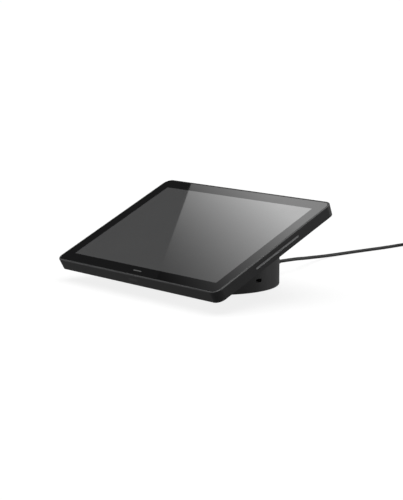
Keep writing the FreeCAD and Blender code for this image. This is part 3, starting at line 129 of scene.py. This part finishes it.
CORD_DIAMETER = 0.0036
CORD_EXIT = (0, 0.090, 0.0126)
CORD_ROUTE = [
    CORD_EXIT,
    (0, 0.104, 0.0126),
    (-0.0045, 0.122, 0.0112),
    (-0.0145, 0.141, 0.0082),
    (-0.0243, 0.163, 0.0055),
    (-0.032, 0.188, 0.0029),
    (-0.0355, 0.218, 0.0018),
    (-0.0346, 0.252, 0.0018),
    (-0.032, 0.288, 0.0018),
    (-0.033, 0.322, 0.0018),
    (-0.0318, 0.350, 0.0018),
]
COIL_RADIUS = 0.018
COIL_STEPS = 16
COIL_TURNS = 10.25
# how the turns fill the coil: columns from the inside out, and layers from the floor up
COIL_SLOTS = [
    (2, 0), (1, 0), (0, 0), (0, 1), (1, 1), (1, 2), (0, 2), (0, 3), (1, 3), (2, 3), (2, 2), (2, 1),
]
# turns that one shift to the next slot takes, and how much earlier each corner starts
SHIFT_TURNS = 0.22
SHIFT_LEAD = 0.075
PLUG_AXIS_HEIGHT = 0.0032
# the turns are lifted by the tie below them, over this share of a turn
TIE_LIFT = 0.0006
TIE_LIFT_TURNS = 0.09
# the last part of the coil, over which the cord comes to the plug's height
SETTLE_TURNS = 0.15


def shift_starts():
    """The turn at which the cord leaves each slot: earlier at each corner, to clear the turn behind."""
    starts = []
    lead = 0
    for index in range(1, len(COIL_SLOTS)):
        step = tuple(b - a for a, b in zip(COIL_SLOTS[index - 1], COIL_SLOTS[index]))
        if starts and step != before:
            lead += SHIFT_LEAD
        starts.append(index - 1 - lead)
        before = step
    return starts


def coil_point(turns, starts, centre):
    """Where the cord lies after that many turns, clockwise from the side where it comes in."""
    column, layer = COIL_SLOTS[0]
    for index, start in enumerate(starts):
        share = smooth((turns - start) / SHIFT_TURNS)
        column += share * (COIL_SLOTS[index + 1][0] - COIL_SLOTS[index][0])
        layer += share * (COIL_SLOTS[index + 1][1] - COIL_SLOTS[index][1])
    radius = COIL_RADIUS + (column - 1) * CORD_DIAMETER
    radius /= math.cos(math.pi / COIL_STEPS)
    height = (layer + 0.5) * CORD_DIAMETER
    from_tie = abs(turns % 1 - 0.5) / TIE_LIFT_TURNS
    height += TIE_LIFT * (1 - smooth(from_tie - 0.4))
    settle = smooth((turns - COIL_TURNS + SETTLE_TURNS) / SETTLE_TURNS)
    height += settle * (PLUG_AXIS_HEIGHT - height)
    angle = math.pi - 2 * math.pi * turns
    return (centre.x + radius * math.cos(angle), centre.y + radius * math.sin(angle), height)


def make_cord(pieces):
    low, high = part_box("cord_coil")
    centre = (low + high) / 2
    starts = shift_starts()
    points = list(CORD_ROUTE)
    for step in range(1, int(COIL_TURNS * COIL_STEPS)):
        points.append(coil_point(step / COIL_STEPS, starts, centre))
    way_out = centre.y + COIL_RADIUS + CORD_DIAMETER
    points.append((centre.x, way_out, PLUG_AXIS_HEIGHT))
    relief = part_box("cord_plug_grip")[0]
    points.append((relief.x + 0.0015, way_out, PLUG_AXIS_HEIGHT))

    curve = bpy.data.curves.new("cord", "CURVE")
    curve.dimensions = "3D"
    curve.resolution_u = 8
    curve.bevel_depth = CORD_DIAMETER / 2
    curve.bevel_resolution = 5
    curve.use_fill_caps = True
    spline = curve.splines.new("NURBS")
    spline.points.add(len(points) - 1)
    for control, point in zip(spline.points, points):
        control.co = (*point, 1)
    spline.order_u = 3
    spline.use_endpoint_u = True
    curve.materials.append(finish_of("cable"))
    cord = bpy.data.objects.new("cord", curve)
    bpy.context.scene.collection.objects.link(cord)
    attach(cord, TERMINAL)
    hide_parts("power_cord", "cord_coil")


def make_strain_relief():
    """The tapered sleeve round the cord where it leaves the stand, ringed with flex grooves."""
    low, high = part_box("cable_strain_relief")
    axis_x = (low.x + high.x) / 2
    axis_z = (low.z + high.z) / 2
    collar, root, tip, groove = (high.z - low.z) / 2, 0.0039, 0.0025, 0.0005
    flange_end, flange, neck = 0.0620, 0.0045, 0.0035
    collar_start, collar_end = 0.0651, 0.0675
    profile = [
        (low.y, flange - 0.0001), (low.y + 0.0001, flange), (flange_end, flange),
        (flange_end + 0.0001, neck), (collar_start, neck),
        (collar_start + 0.0001, collar - 0.0004), (collar_start + 0.0005, collar),
        (collar_end - 0.0007, collar), (collar_end - 0.0002, collar - 0.0002),
        (collar_end, collar - 0.0007),
    ]
    first, last = collar_end + 0.0002, high.y
    grooves, samples, plain_end = 7, 84, 0.1
    for step in range(samples + 1):
        along = step / samples
        radius = root + (tip - root) * along ** 0.8
        if plain_end < along < 1 - plain_end:
            wave = math.sin(math.pi * grooves * (along - plain_end) / (1 - 2 * plain_end))
            radius -= groove * smooth(abs(wave) * 1.6 - 0.9)
        profile.append((first + (last - first) * along, radius))
    profile[-1] = (last, tip - 0.0003)
    rings_of_points = []
    for along, radius in profile:
        ring = []
        for step in range(SIDES):
            angle = -2 * math.pi * step / SIDES
            ring.append((axis_x + radius * math.cos(angle), along, axis_z + radius * math.sin(angle)))
        rings_of_points.append(ring)
    relief = skin("strain_relief", rings_of_points, finish_of("rubber"))
    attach(relief, TERMINAL)
    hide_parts("cable_strain_relief")


def make_plug():
    """The moulded grip of the far plug, with its own strain relief, and the bare metal nose.

    Sizes across the plug are half widths and half heights.
    """
    low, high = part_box("cord_plug_grip")
    nose_low, nose_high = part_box("cord_plug_nose")
    centre_y = (low.y + high.y) / 2
    centre_z = PLUG_AXIS_HEIGHT
    half_width = (high.y - low.y) / 2
    half_height = centre_z - low.z
    body_start = low.x + 0.009
    tip, root, groove, grooves, samples = 0.0023, 0.0029, 0.0003, 4, 24
    sections = [(low.x, tip - 0.0003, tip - 0.0003), (low.x + 0.0003, tip, tip)]
    for step in range(samples + 1):
        along = step / samples
        radius = tip + (root - tip) * along
        radius -= groove * smooth(abs(math.sin(math.pi * grooves * along)) * 1.8 - 1)
        sections.append((low.x + 0.0006 + 0.0080 * along, radius, radius))
    sections += [
        (body_start, 0.0034, 0.0029),
        (body_start + 0.0006, 0.0046, 0.00305),
        (body_start + 0.0020, half_width - 0.0003, half_height),
        (body_start + 0.0040, half_width, half_height),
        (high.x - 0.0016, half_width, half_height),
        (high.x - 0.0006, half_width - 0.0002, half_height - 0.0002),
        (high.x, half_width - 0.0009, half_height - 0.0009),
    ]
    rings = []
    for along, wide, tall in sections:
        outline = rounded_ring(wide, tall, min(wide, tall) * 0.98, per_corner=8)
        rings.append([(along, centre_y + u, centre_z + v) for u, v in outline])
    grip = skin("plug_grip", rings, finish_of("cable"))
    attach(grip, TERMINAL)
    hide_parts("cord_plug_grip")

    wide = (nose_high.y - nose_low.y) / 2
    tall = (nose_high.z - nose_low.z) / 2
    wall, lip = 0.00035, 0.0002
    shell = []
    for along, inset in [
        (nose_low.x - 0.0004, 0), (nose_high.x - lip, 0), (nose_high.x, lip), (nose_high.x, wall),
        (nose_low.x + 0.0008, wall),
    ]:
        outline = rounded_ring(wide - inset, tall - inset, tall - inset)
        shell.append([(along, centre_y + u, centre_z + v) for u, v in outline])
    nose = skin("plug_nose", shell, finish_of("plug_metal"))
    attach(nose, TERMINAL)
    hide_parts("cord_plug_nose")
    tongue_rings = []
    tongue_wide, tongue_tall, tongue_corner = 0.0032, 0.00035, 0.0002
    for along, inset in [
        (nose_low.x + 0.0006, 0), (nose_high.x - 0.0012, 0), (nose_high.x - 0.0009, 0.0002),
    ]:
        outline = rounded_ring(tongue_wide - inset, tongue_tall - inset, tongue_corner, per_corner=3)
        tongue_rings.append([(along, centre_y + u, centre_z + v) for u, v in outline])
    tongue = skin("plug_tongue", tongue_rings, finish_of("connector_plastic"))
    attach(tongue, TERMINAL)
    return [grip, nose, tongue]


def make_tie():
    """A woven strap round the coil's turns."""
    low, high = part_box("cord_tie")
    thick = 0.0008
    centre_x = (low.x + high.x) / 2
    half_length = (high.x - low.x) / 2
    centre_z = (low.z + high.z) / 2
    half_height = (high.z - low.z) / 2
    corner = 0.0028
    path = rounded_ring(half_length - thick / 2, half_height - thick / 2, corner, per_corner=10)
    rings = []
    half_width = (high.y - low.y) / 2
    centre_y = (low.y + high.y) / 2
    for index, (u, v) in enumerate(path):
        before, after = path[index - 1], path[(index + 1) % len(path)]
        along_u, along_v = after[0] - before[0], after[1] - before[1]
        length = math.hypot(along_u, along_v)
        out_u, out_v = along_v / length, -along_u / length
        ring = []
        for side, lift in rounded_ring(half_width, thick / 2, thick * 0.45, per_corner=3):
            ring.append((centre_x + u + out_u * lift, centre_y + side, centre_z + v + out_v * lift))
        rings.append(ring)
    tie = skin("tie", rings, finish_of("strap"), closed=True)
    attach(tie, TERMINAL)
    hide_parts("cord_tie")
    return tie


# ---------------------------------------------------------------- card slot

# the slot's face from the head's middle, and its middle line below the glass
SLOT_FACE, SLOT_DEPTH = 0.123, 0.006
SEAL_HALF_LENGTH, SEAL_HALF_HEIGHT, SEAL_THICKNESS = 0.0292, 0.00078, 0.0006
# how far the seal lies behind the slot's face, and half the slit between its lips
SEAL_SINK, SEAL_SLIT = 0.00025, 0.00004


def make_seal():
    """Two soft light lips that close the mouth of the card slot and meet at a fine slit."""
    middle, up, out = head_frame()
    for name, side in (("upper", 1), ("lower", -1)):
        half = (SEAL_HALF_HEIGHT - SEAL_SLIT) / 2
        height = side * (half + SEAL_SLIT) - SLOT_DEPTH
        rings = []
        for back, inset in ((SEAL_THICKNESS, 0), (0.0001, 0), (0, 0.0001)):
            centre = middle + Vector((SLOT_FACE - SEAL_SINK - back, 0, 0)) + out * height
            outline = rounded_ring(SEAL_HALF_LENGTH - inset, half - inset, 0.0002, per_corner=3)
            rings.append([centre + up * u + out * v for u, v in outline])
        lip = skin("slot_seal_" + name, rings, finish_of("slot_plastic"))
        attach(lip, TERMINAL)


# ---------------------------------------------------------------- materials

# colour, second colour, lowest and highest roughness, metallic, grain in metres, bump height in metres
FINISHES = {
    "housing": ((0.0105, 0.0105, 0.011), (0.014, 0.014, 0.0145), 0.40, 0.48, 0, 0.00045, 0.000012),
    "inlay": ((0.021, 0.021, 0.022), (0.025, 0.025, 0.026), 0.25, 0.32, 0, 0.0004, 0.000004),
    "display": ((0.05, 0.05, 0.052), (0.055, 0.055, 0.057), 0.3, 0.35, 0, 0.0003, 0.000002),
    "adhesive": ((0.01, 0.01, 0.01), (0.02, 0.02, 0.02), 0.5, 0.6, 0, 0.0006, 0.00001),
    "plate_metal": ((0.45, 0.45, 0.46), (0.52, 0.52, 0.53), 0.32, 0.42, 1, 0.002, 0.000004),
    "steel": ((0.50, 0.49, 0.48), (0.58, 0.57, 0.56), 0.25, 0.36, 1, 0.0008, 0.000004),
    "weight_steel": ((0.30, 0.29, 0.28), (0.38, 0.37, 0.36), 0.45, 0.6, 1, 0.0025, 0.00003),
    "circuit_board": ((0.008, 0.05, 0.022), (0.014, 0.075, 0.035), 0.3, 0.4, 0, 0.0012, 0.00002),
    "copper": ((0.75, 0.36, 0.20), (0.82, 0.42, 0.25), 0.25, 0.35, 1, 0.0006, 0.000003),
    "contact_gold": ((0.85, 0.60, 0.22), (0.90, 0.66, 0.28), 0.15, 0.25, 1, 0.0004, 0.000002),
    "ferrite": ((0.025, 0.025, 0.027), (0.035, 0.034, 0.034), 0.5, 0.62, 0, 0.001, 0.00001),
    "slot_plastic": ((0.23, 0.232, 0.236), (0.27, 0.272, 0.276), 0.3, 0.38, 0, 0.0004, 0.000006),
    "reader_plastic": ((0.02, 0.02, 0.021), (0.027, 0.027, 0.028), 0.4, 0.5, 0, 0.0005, 0.00001),
    "connector_plastic": ((0.02, 0.02, 0.02), (0.03, 0.03, 0.03), 0.35, 0.45, 0, 0.0005, 0.000006),
    "bearing_plastic": ((0.62, 0.61, 0.57), (0.68, 0.67, 0.63), 0.35, 0.45, 0, 0.001, 0.000008),
    "ribbon": ((0.55, 0.22, 0.04), (0.62, 0.27, 0.06), 0.25, 0.35, 0, 0.0015, 0.000006),
    "rubber": ((0.012, 0.012, 0.012), (0.019, 0.019, 0.019), 0.62, 0.75, 0, 0.0006, 0.00003),
    "cable": ((0.011, 0.011, 0.0115), (0.017, 0.017, 0.0175), 0.42, 0.52, 0, 0.0006, 0.000015),
    "plug_metal": ((0.62, 0.62, 0.64), (0.70, 0.70, 0.72), 0.18, 0.28, 1, 0.0005, 0.000002),
    "strap": ((0.010, 0.010, 0.011), (0.024, 0.024, 0.026), 0.75, 0.9, 0, 0.0007, 0.00012),
}
# broad marks over every finish: their size, detail and share beside the fine grain
HANDLING_SIZE, HANDLING_DETAIL, HANDLING_SHARE = 0.03, 3.0, 0.4
# the noise values that reach a finish's two ends
COLOUR_CONTRAST = (0.35, 0.65)
NOISE_RANGE = (0.3, 0.7)
materials = {}


class Nodes:
    """Short names for building a material's nodes."""

    def __init__(self, name):
        self.material = bpy.data.materials.new(name)
        self.material.use_nodes = True
        self.tree = self.material.node_tree
        self.shader = self.tree.nodes["Principled BSDF"]

    def add(self, kind, inputs=(), **values):
        node = self.tree.nodes.new("ShaderNode" + kind)
        for name, value in values.items():
            setattr(node, name, value)
        for name, value in inputs:
            self.put(node.inputs[name], value)
        return node

    def put(self, socket, value):
        if isinstance(value, bpy.types.NodeSocket):
            self.tree.links.new(value, socket)
        else:
            socket.default_value = value

    def maths(self, operation, first, second=0.0):
        return self.add("Math", [(0, first), (1, second)], operation=operation).outputs[0]

    def blend(self, share, first, second):
        mix = self.add("Mix", data_type="RGBA")
        self.put(mix.inputs["Factor"], share)
        self.put(mix.inputs["A"], first if isinstance(first, bpy.types.NodeSocket) else (*first, 1))
        self.put(mix.inputs["B"], second if isinstance(second, bpy.types.NodeSocket) else (*second, 1))
        return mix.outputs["Result"]

    def span(self, value, low, high, start=0.0, end=1.0):
        fitted = self.add("MapRange", [("Value", value), ("From Min", start), ("From Max", end)])
        fitted.inputs["To Min"].default_value = low
        fitted.inputs["To Max"].default_value = high
        return fitted.outputs["Result"]

    def noise(self, place, size, detail=2.0):
        noise = self.add("TexNoise", [("Vector", place), ("Scale", 1 / size), ("Detail", detail)])
        return noise.outputs["Fac"]


def finish_of(slot):
    """The material of a slot, made once."""
    if slot not in materials:
        if slot == "cover_glass":
            materials[slot] = glass_material()
        else:
            materials[slot] = plain_finish(slot)
    return materials[slot]


def plain_finish(slot):
    """A moulded, cast or drawn surface: fine grain in colour, gloss and relief, and broad marks."""
    colour, second, smoothest, roughest, metallic, grain, relief = FINISHES[slot]
    nodes = Nodes(slot)
    place = nodes.add("TexCoord").outputs["Object"]
    fine = nodes.noise(place, grain)
    broad = nodes.noise(place, HANDLING_SIZE, HANDLING_DETAIL)
    fine_part = nodes.maths("MULTIPLY", fine, 1 - HANDLING_SHARE)
    mixed = nodes.maths("ADD", fine_part, nodes.maths("MULTIPLY", broad, HANDLING_SHARE))
    shade = nodes.blend(nodes.span(mixed, 0, 1, *COLOUR_CONTRAST), colour, second)
    nodes.put(nodes.shader.inputs["Base Color"], shade)
    nodes.put(nodes.shader.inputs["Roughness"], nodes.span(mixed, smoothest, roughest, *NOISE_RANGE))
    nodes.shader.inputs["Metallic"].default_value = metallic
    bump = nodes.add("Bump", [("Height", fine), ("Distance", relief), ("Strength", 1.0)])
    nodes.put(nodes.shader.inputs["Normal"], bump.outputs["Normal"])
    return nodes.material


# on the glass: x to the right and y up the screen, from the middle of its face
DISPLAY_WIDTH, DISPLAY_HEIGHT, DISPLAY_CORNER = 0.21696, 0.1356, 0.0006
MARK_WIDTH, MARK_HEIGHT = 0.012, 0.0014
MARK_PLACE = (0.0005, -0.0743)
# a hair less than half the height, so that the bar's ends are round
MARK_CORNER = MARK_HEIGHT / 2 - 0.00001
MARK_COLOUR = (0.10, 0.10, 0.10)
PRINT_SOFTNESS = 0.00008
DISPLAY_COLOURS = (0.0590, 0.0594, 0.0598), (0.0617, 0.0619, 0.0621)
BORDER_COLOURS = (0.0030, 0.0030, 0.0032), (0.0036, 0.0036, 0.0038)
# broad changes of tone under the glass, and finger smears on it
TONE_SIZE, TONE_DETAIL = 0.04, 3.0
SMEAR_SIZE, SMEAR_DETAIL, SMEAR_ROUGHNESS = 0.012, 4.0, (0.008, 0.03)
DISPLAY_ROUGHNESS = 0.015
GLASS_THICKNESS = 0.0011
GLASS_IOR = 1.5


def head_frame():
    """The middle of the glass's face, the way up the screen and the way out of the glass."""
    out = Vector([joint for joint in frame["joints"] if joint["name"] == "card_landing"][0]["axis"])
    out.normalize()
    up = Vector((1, 0, 0)).cross(out) * -1
    low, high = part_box("cover_glass")
    return (low + high) / 2 + out * GLASS_THICKNESS / 2, up, out


def inside(nodes, x, y, centre, half_width, half_height, corner):
    """1 inside a rectangle with round corners on the glass, and 0 outside."""
    squares = []
    for value, middle, half in ((x, centre[0], half_width), (y, centre[1], half_height)):
        away = nodes.maths("ABSOLUTE", nodes.maths("SUBTRACT", value, middle))
        past = nodes.maths("MAXIMUM", nodes.maths("SUBTRACT", away, half - corner), 0.0)
        squares.append(nodes.maths("MULTIPLY", past, past))
    distance = nodes.maths("SQRT", nodes.maths("ADD", *squares))
    return nodes.span(distance, 1, 0, corner - PRINT_SOFTNESS, corner + PRINT_SOFTNESS)


def glass_material():
    """Glass over an unlit display: dark grey, inside a black printed border with a plain bar."""
    middle, up, out = head_frame()
    nodes = Nodes("cover_glass")
    place = nodes.add("TexCoord").outputs["Object"]
    shifted = nodes.add("VectorMath", [(0, place), (1, middle)], operation="SUBTRACT").outputs["Vector"]
    x = nodes.add("SeparateXYZ", [(0, shifted)]).outputs["X"]
    y = nodes.add("VectorMath", [(0, shifted), (1, up)], operation="DOT_PRODUCT").outputs["Value"]
    shown = inside(nodes, x, y, (0, 0), DISPLAY_WIDTH / 2, DISPLAY_HEIGHT / 2, DISPLAY_CORNER)
    mark = inside(nodes, x, y, MARK_PLACE, MARK_WIDTH / 2, MARK_HEIGHT / 2, MARK_CORNER)
    broad = nodes.noise(place, TONE_SIZE, TONE_DETAIL)
    display = nodes.blend(nodes.span(broad, 0, 1, *NOISE_RANGE), *DISPLAY_COLOURS)
    border = nodes.blend(nodes.span(broad, 0, 1, *NOISE_RANGE), *BORDER_COLOURS)
    colour = nodes.blend(mark, nodes.blend(shown, border, display), MARK_COLOUR)
    nodes.put(nodes.shader.inputs["Base Color"], colour)
    smears = nodes.noise(place, SMEAR_SIZE, SMEAR_DETAIL)
    nodes.put(nodes.shader.inputs["Roughness"], nodes.span(smears, *SMEAR_ROUGHNESS, *NOISE_RANGE))
    nodes.shader.inputs["IOR"].default_value = GLASS_IOR
    # the display's own face, under the glass, throws back a second reflection
    nodes.put(nodes.shader.inputs["Coat Weight"], shown)
    nodes.shader.inputs["Coat Roughness"].default_value = DISPLAY_ROUGHNESS
    nodes.shader.inputs["Coat IOR"].default_value = GLASS_IOR
    return nodes.material


def dress_model():
    """Give every carried-over node its slot's material."""
    slots = {part["node"]: part["material_slot"] for part in frame["record"]["subparts"]}
    for name, piece in frame["nodes"].items():
        piece.data.materials.clear()
        piece.data.materials.append(finish_of(slots[name]))


# ---------------------------------------------------------------- light and floor

FLOOR_HALF = 80
# the floor's own light keeps its shadows pale, and brings the lit floor just to white
FLOOR_ALBEDO, FLOOR_GLOW = 0.15, 0.84
SUN_STRENGTH, SUN_ANGLE = 3.5, 76
PANEL_DISTANCE = 2.6
PANEL_STRENGTH = 0.63
PANEL_CELLS = (24, 24)
# bottom, top and right side, as mirrored in the glass
PANEL_SPAN = (-0.16, 0.20, 0.30)
# the root of the panel's brightness: at the glass's middle, its gain per metre up and across, its limit
PANEL_MIDDLE, PANEL_RISE, PANEL_SLANT, PANEL_TOP = 0.748, 9.5, 4.9, 1.72
SOFTBOX_DISTANCE = 1.6
# the white that the camera sees past the floor's edge
BACKDROP = 1.01
# brightness of the surroundings by direction: height of the direction's end on a unit ball, then value
SURROUNDINGS = [
    (-1, 0.10), (-0.62, 0.26), (-0.3, 0.19), (-0.1, 0.28), (0, 0.56), (0.1, 0.56), (0.3, 0.20),
    (0.45, 0.05), (1, 0.05),
]
# azimuth in degrees, height, width, tallness in metres, and radiance
SOFTBOXES = {
    "right": (60, 0.40, 0.5, 0.9, 2.8),
    "left": (212, 0.6, 0.7, 0.6, 2.2),
}
# the panel's straight edge, as it shows mirrored in the glass, in metres from the middle of the glass
EDGE_TOP = (-0.0828, 0.0797)
EDGE_BOTTOM = (0.0171, -0.0540)


def make_floor():
    """A white floor that shows only to the camera; make_world gives the light it would return."""
    mesh = bpy.data.meshes.new("floor")
    half = FLOOR_HALF
    corners = [(-half, -half, 0), (half, -half, 0), (half, half, 0), (-half, half, 0)]
    mesh.from_pydata(corners, [], [(0, 1, 2, 3)])
    floor = bpy.data.objects.new("floor", mesh)
    bpy.context.scene.collection.objects.link(floor)
    nodes = Nodes("floor")
    nodes.shader.inputs["Base Color"].default_value = (FLOOR_ALBEDO, FLOOR_ALBEDO, FLOOR_ALBEDO, 1)
    nodes.shader.inputs["Roughness"].default_value = 0.9
    nodes.shader.inputs["Specular IOR Level"].default_value = 0
    nodes.shader.inputs["Emission Color"].default_value = (1, 1, 1, 1)
    nodes.shader.inputs["Emission Strength"].default_value = FLOOR_GLOW
    mesh.materials.append(nodes.material)
    floor.visible_diffuse = False
    floor.visible_glossy = False


def make_sun():
    data = bpy.data.lights.new("overhead", "SUN")
    data.energy = SUN_STRENGTH
    data.angle = math.radians(SUN_ANGLE)
    sun = bpy.data.objects.new("overhead", data)
    bpy.context.scene.collection.objects.link(sun)


def make_panel():
    """A graded light panel, placed where the camera sees it mirrored in the right of the glass."""
    middle, up, out = head_frame()
    behind = CAMERA_PLACE - 2 * (CAMERA_PLACE - middle).dot(out) * out
    facing = (middle - behind).normalized()
    plane = middle + facing * PANEL_DISTANCE

    def mirrored(x, y):
        ray = middle + Vector((x, 0, 0)) + up * y - behind
        return behind + ray * (plane - behind).dot(facing) / ray.dot(facing)

    slope = (EDGE_TOP[0] - EDGE_BOTTOM[0]) / (EDGE_TOP[1] - EDGE_BOTTOM[1])
    rows, columns = PANEL_CELLS
    bottom, top, right = PANEL_SPAN
    points, strengths, faces = [], [], []
    for row in range(rows + 1):
        y = bottom + (top - bottom) * row / rows
        edge = EDGE_BOTTOM[0] + slope * (y - EDGE_BOTTOM[1])
        for column in range(columns + 1):
            x = edge + (right - edge) * column / columns
            points.append(mirrored(x, y))
            root = PANEL_MIDDLE + PANEL_RISE * y + PANEL_SLANT * x
            strengths.append(PANEL_STRENGTH * min(max(root, 0), PANEL_TOP) ** 2)
            if row and column:
                corner = row * (columns + 1) + column
                faces.append((corner - columns - 2, corner - columns - 1, corner, corner - 1))
    mesh = bpy.data.meshes.new("panel")
    mesh.from_pydata([tuple(point) for point in points], [], faces)
    attribute = mesh.attributes.new("strength", "FLOAT", "POINT")
    attribute.data.foreach_set("value", strengths)
    panel = bpy.data.objects.new("panel", mesh)
    bpy.context.scene.collection.objects.link(panel)
    nodes = Nodes("panel")
    nodes.shader.inputs["Base Color"].default_value = (0, 0, 0, 1)
    nodes.shader.inputs["Specular IOR Level"].default_value = 0
    nodes.shader.inputs["Emission Color"].default_value = (1, 1, 1, 1)
    value = nodes.add("Attribute", attribute_name="strength").outputs["Fac"]
    nodes.put(nodes.shader.inputs["Emission Strength"], value)
    mesh.materials.append(nodes.material)
    panel.visible_camera = False
    panel.visible_shadow = False


def make_softbox(name, azimuth, height, width, tall, radiance):
    """A soft light to one side, upright, facing the object."""
    data = bpy.data.lights.new(name, "AREA")
    data.shape = "RECTANGLE"
    data.size, data.size_y = width, tall
    data.energy = radiance * math.pi * width * tall
    light = bpy.data.objects.new(name, data)
    angle = math.radians(azimuth)
    light.location = (SOFTBOX_DISTANCE * math.cos(angle), SOFTBOX_DISTANCE * math.sin(angle), height)
    light.rotation_euler = (Vector((0, 0, 0.05)) - light.location).to_track_quat("-Z", "Y").to_euler()
    light.visible_camera = False
    bpy.context.scene.collection.objects.link(light)


def make_world():
    """Dark above, a bright band all round at the horizon, dim below, and white behind everything."""
    world = bpy.data.worlds.new("world")
    bpy.context.scene.world = world
    world.use_nodes = True
    tree = world.node_tree
    background = tree.nodes["Background"]
    place = tree.nodes.new("ShaderNodeTexCoord")
    split = tree.nodes.new("ShaderNodeSeparateXYZ")
    tree.links.new(place.outputs["Generated"], split.inputs[0])
    share = tree.nodes.new("ShaderNodeMapRange")
    tree.links.new(split.outputs["Z"], share.inputs["Value"])
    share.inputs["From Min"].default_value = -1
    ramp = tree.nodes.new("ShaderNodeValToRGB")
    tree.links.new(share.outputs["Result"], ramp.inputs["Fac"])
    stops = ramp.color_ramp.elements
    while len(stops) < len(SURROUNDINGS):
        stops.new(0.5)
    for stop, (height, value) in zip(stops, SURROUNDINGS):
        stop.position = (height + 1) / 2
        stop.color = (value, value, value, 1)
    rays = tree.nodes.new("ShaderNodeLightPath")
    mix = tree.nodes.new("ShaderNodeMix")
    tree.links.new(rays.outputs["Is Camera Ray"], mix.inputs["Factor"])
    tree.links.new(ramp.outputs["Color"], mix.inputs["A"])
    mix.inputs["B"].default_value = BACKDROP
    tree.links.new(mix.outputs["Result"], background.inputs["Strength"])
    background.inputs["Color"].default_value = (1, 1, 1, 1)


make_camera()
make_cord([make_tie(), *make_plug()])
make_strain_relief()
make_seal()
dress_model()
make_floor()
make_sun()
make_panel()
for label, softbox in SOFTBOXES.items():
    make_softbox(label, *softbox)
make_world()
bpy.context.scene.view_settings.view_transform = "Standard"
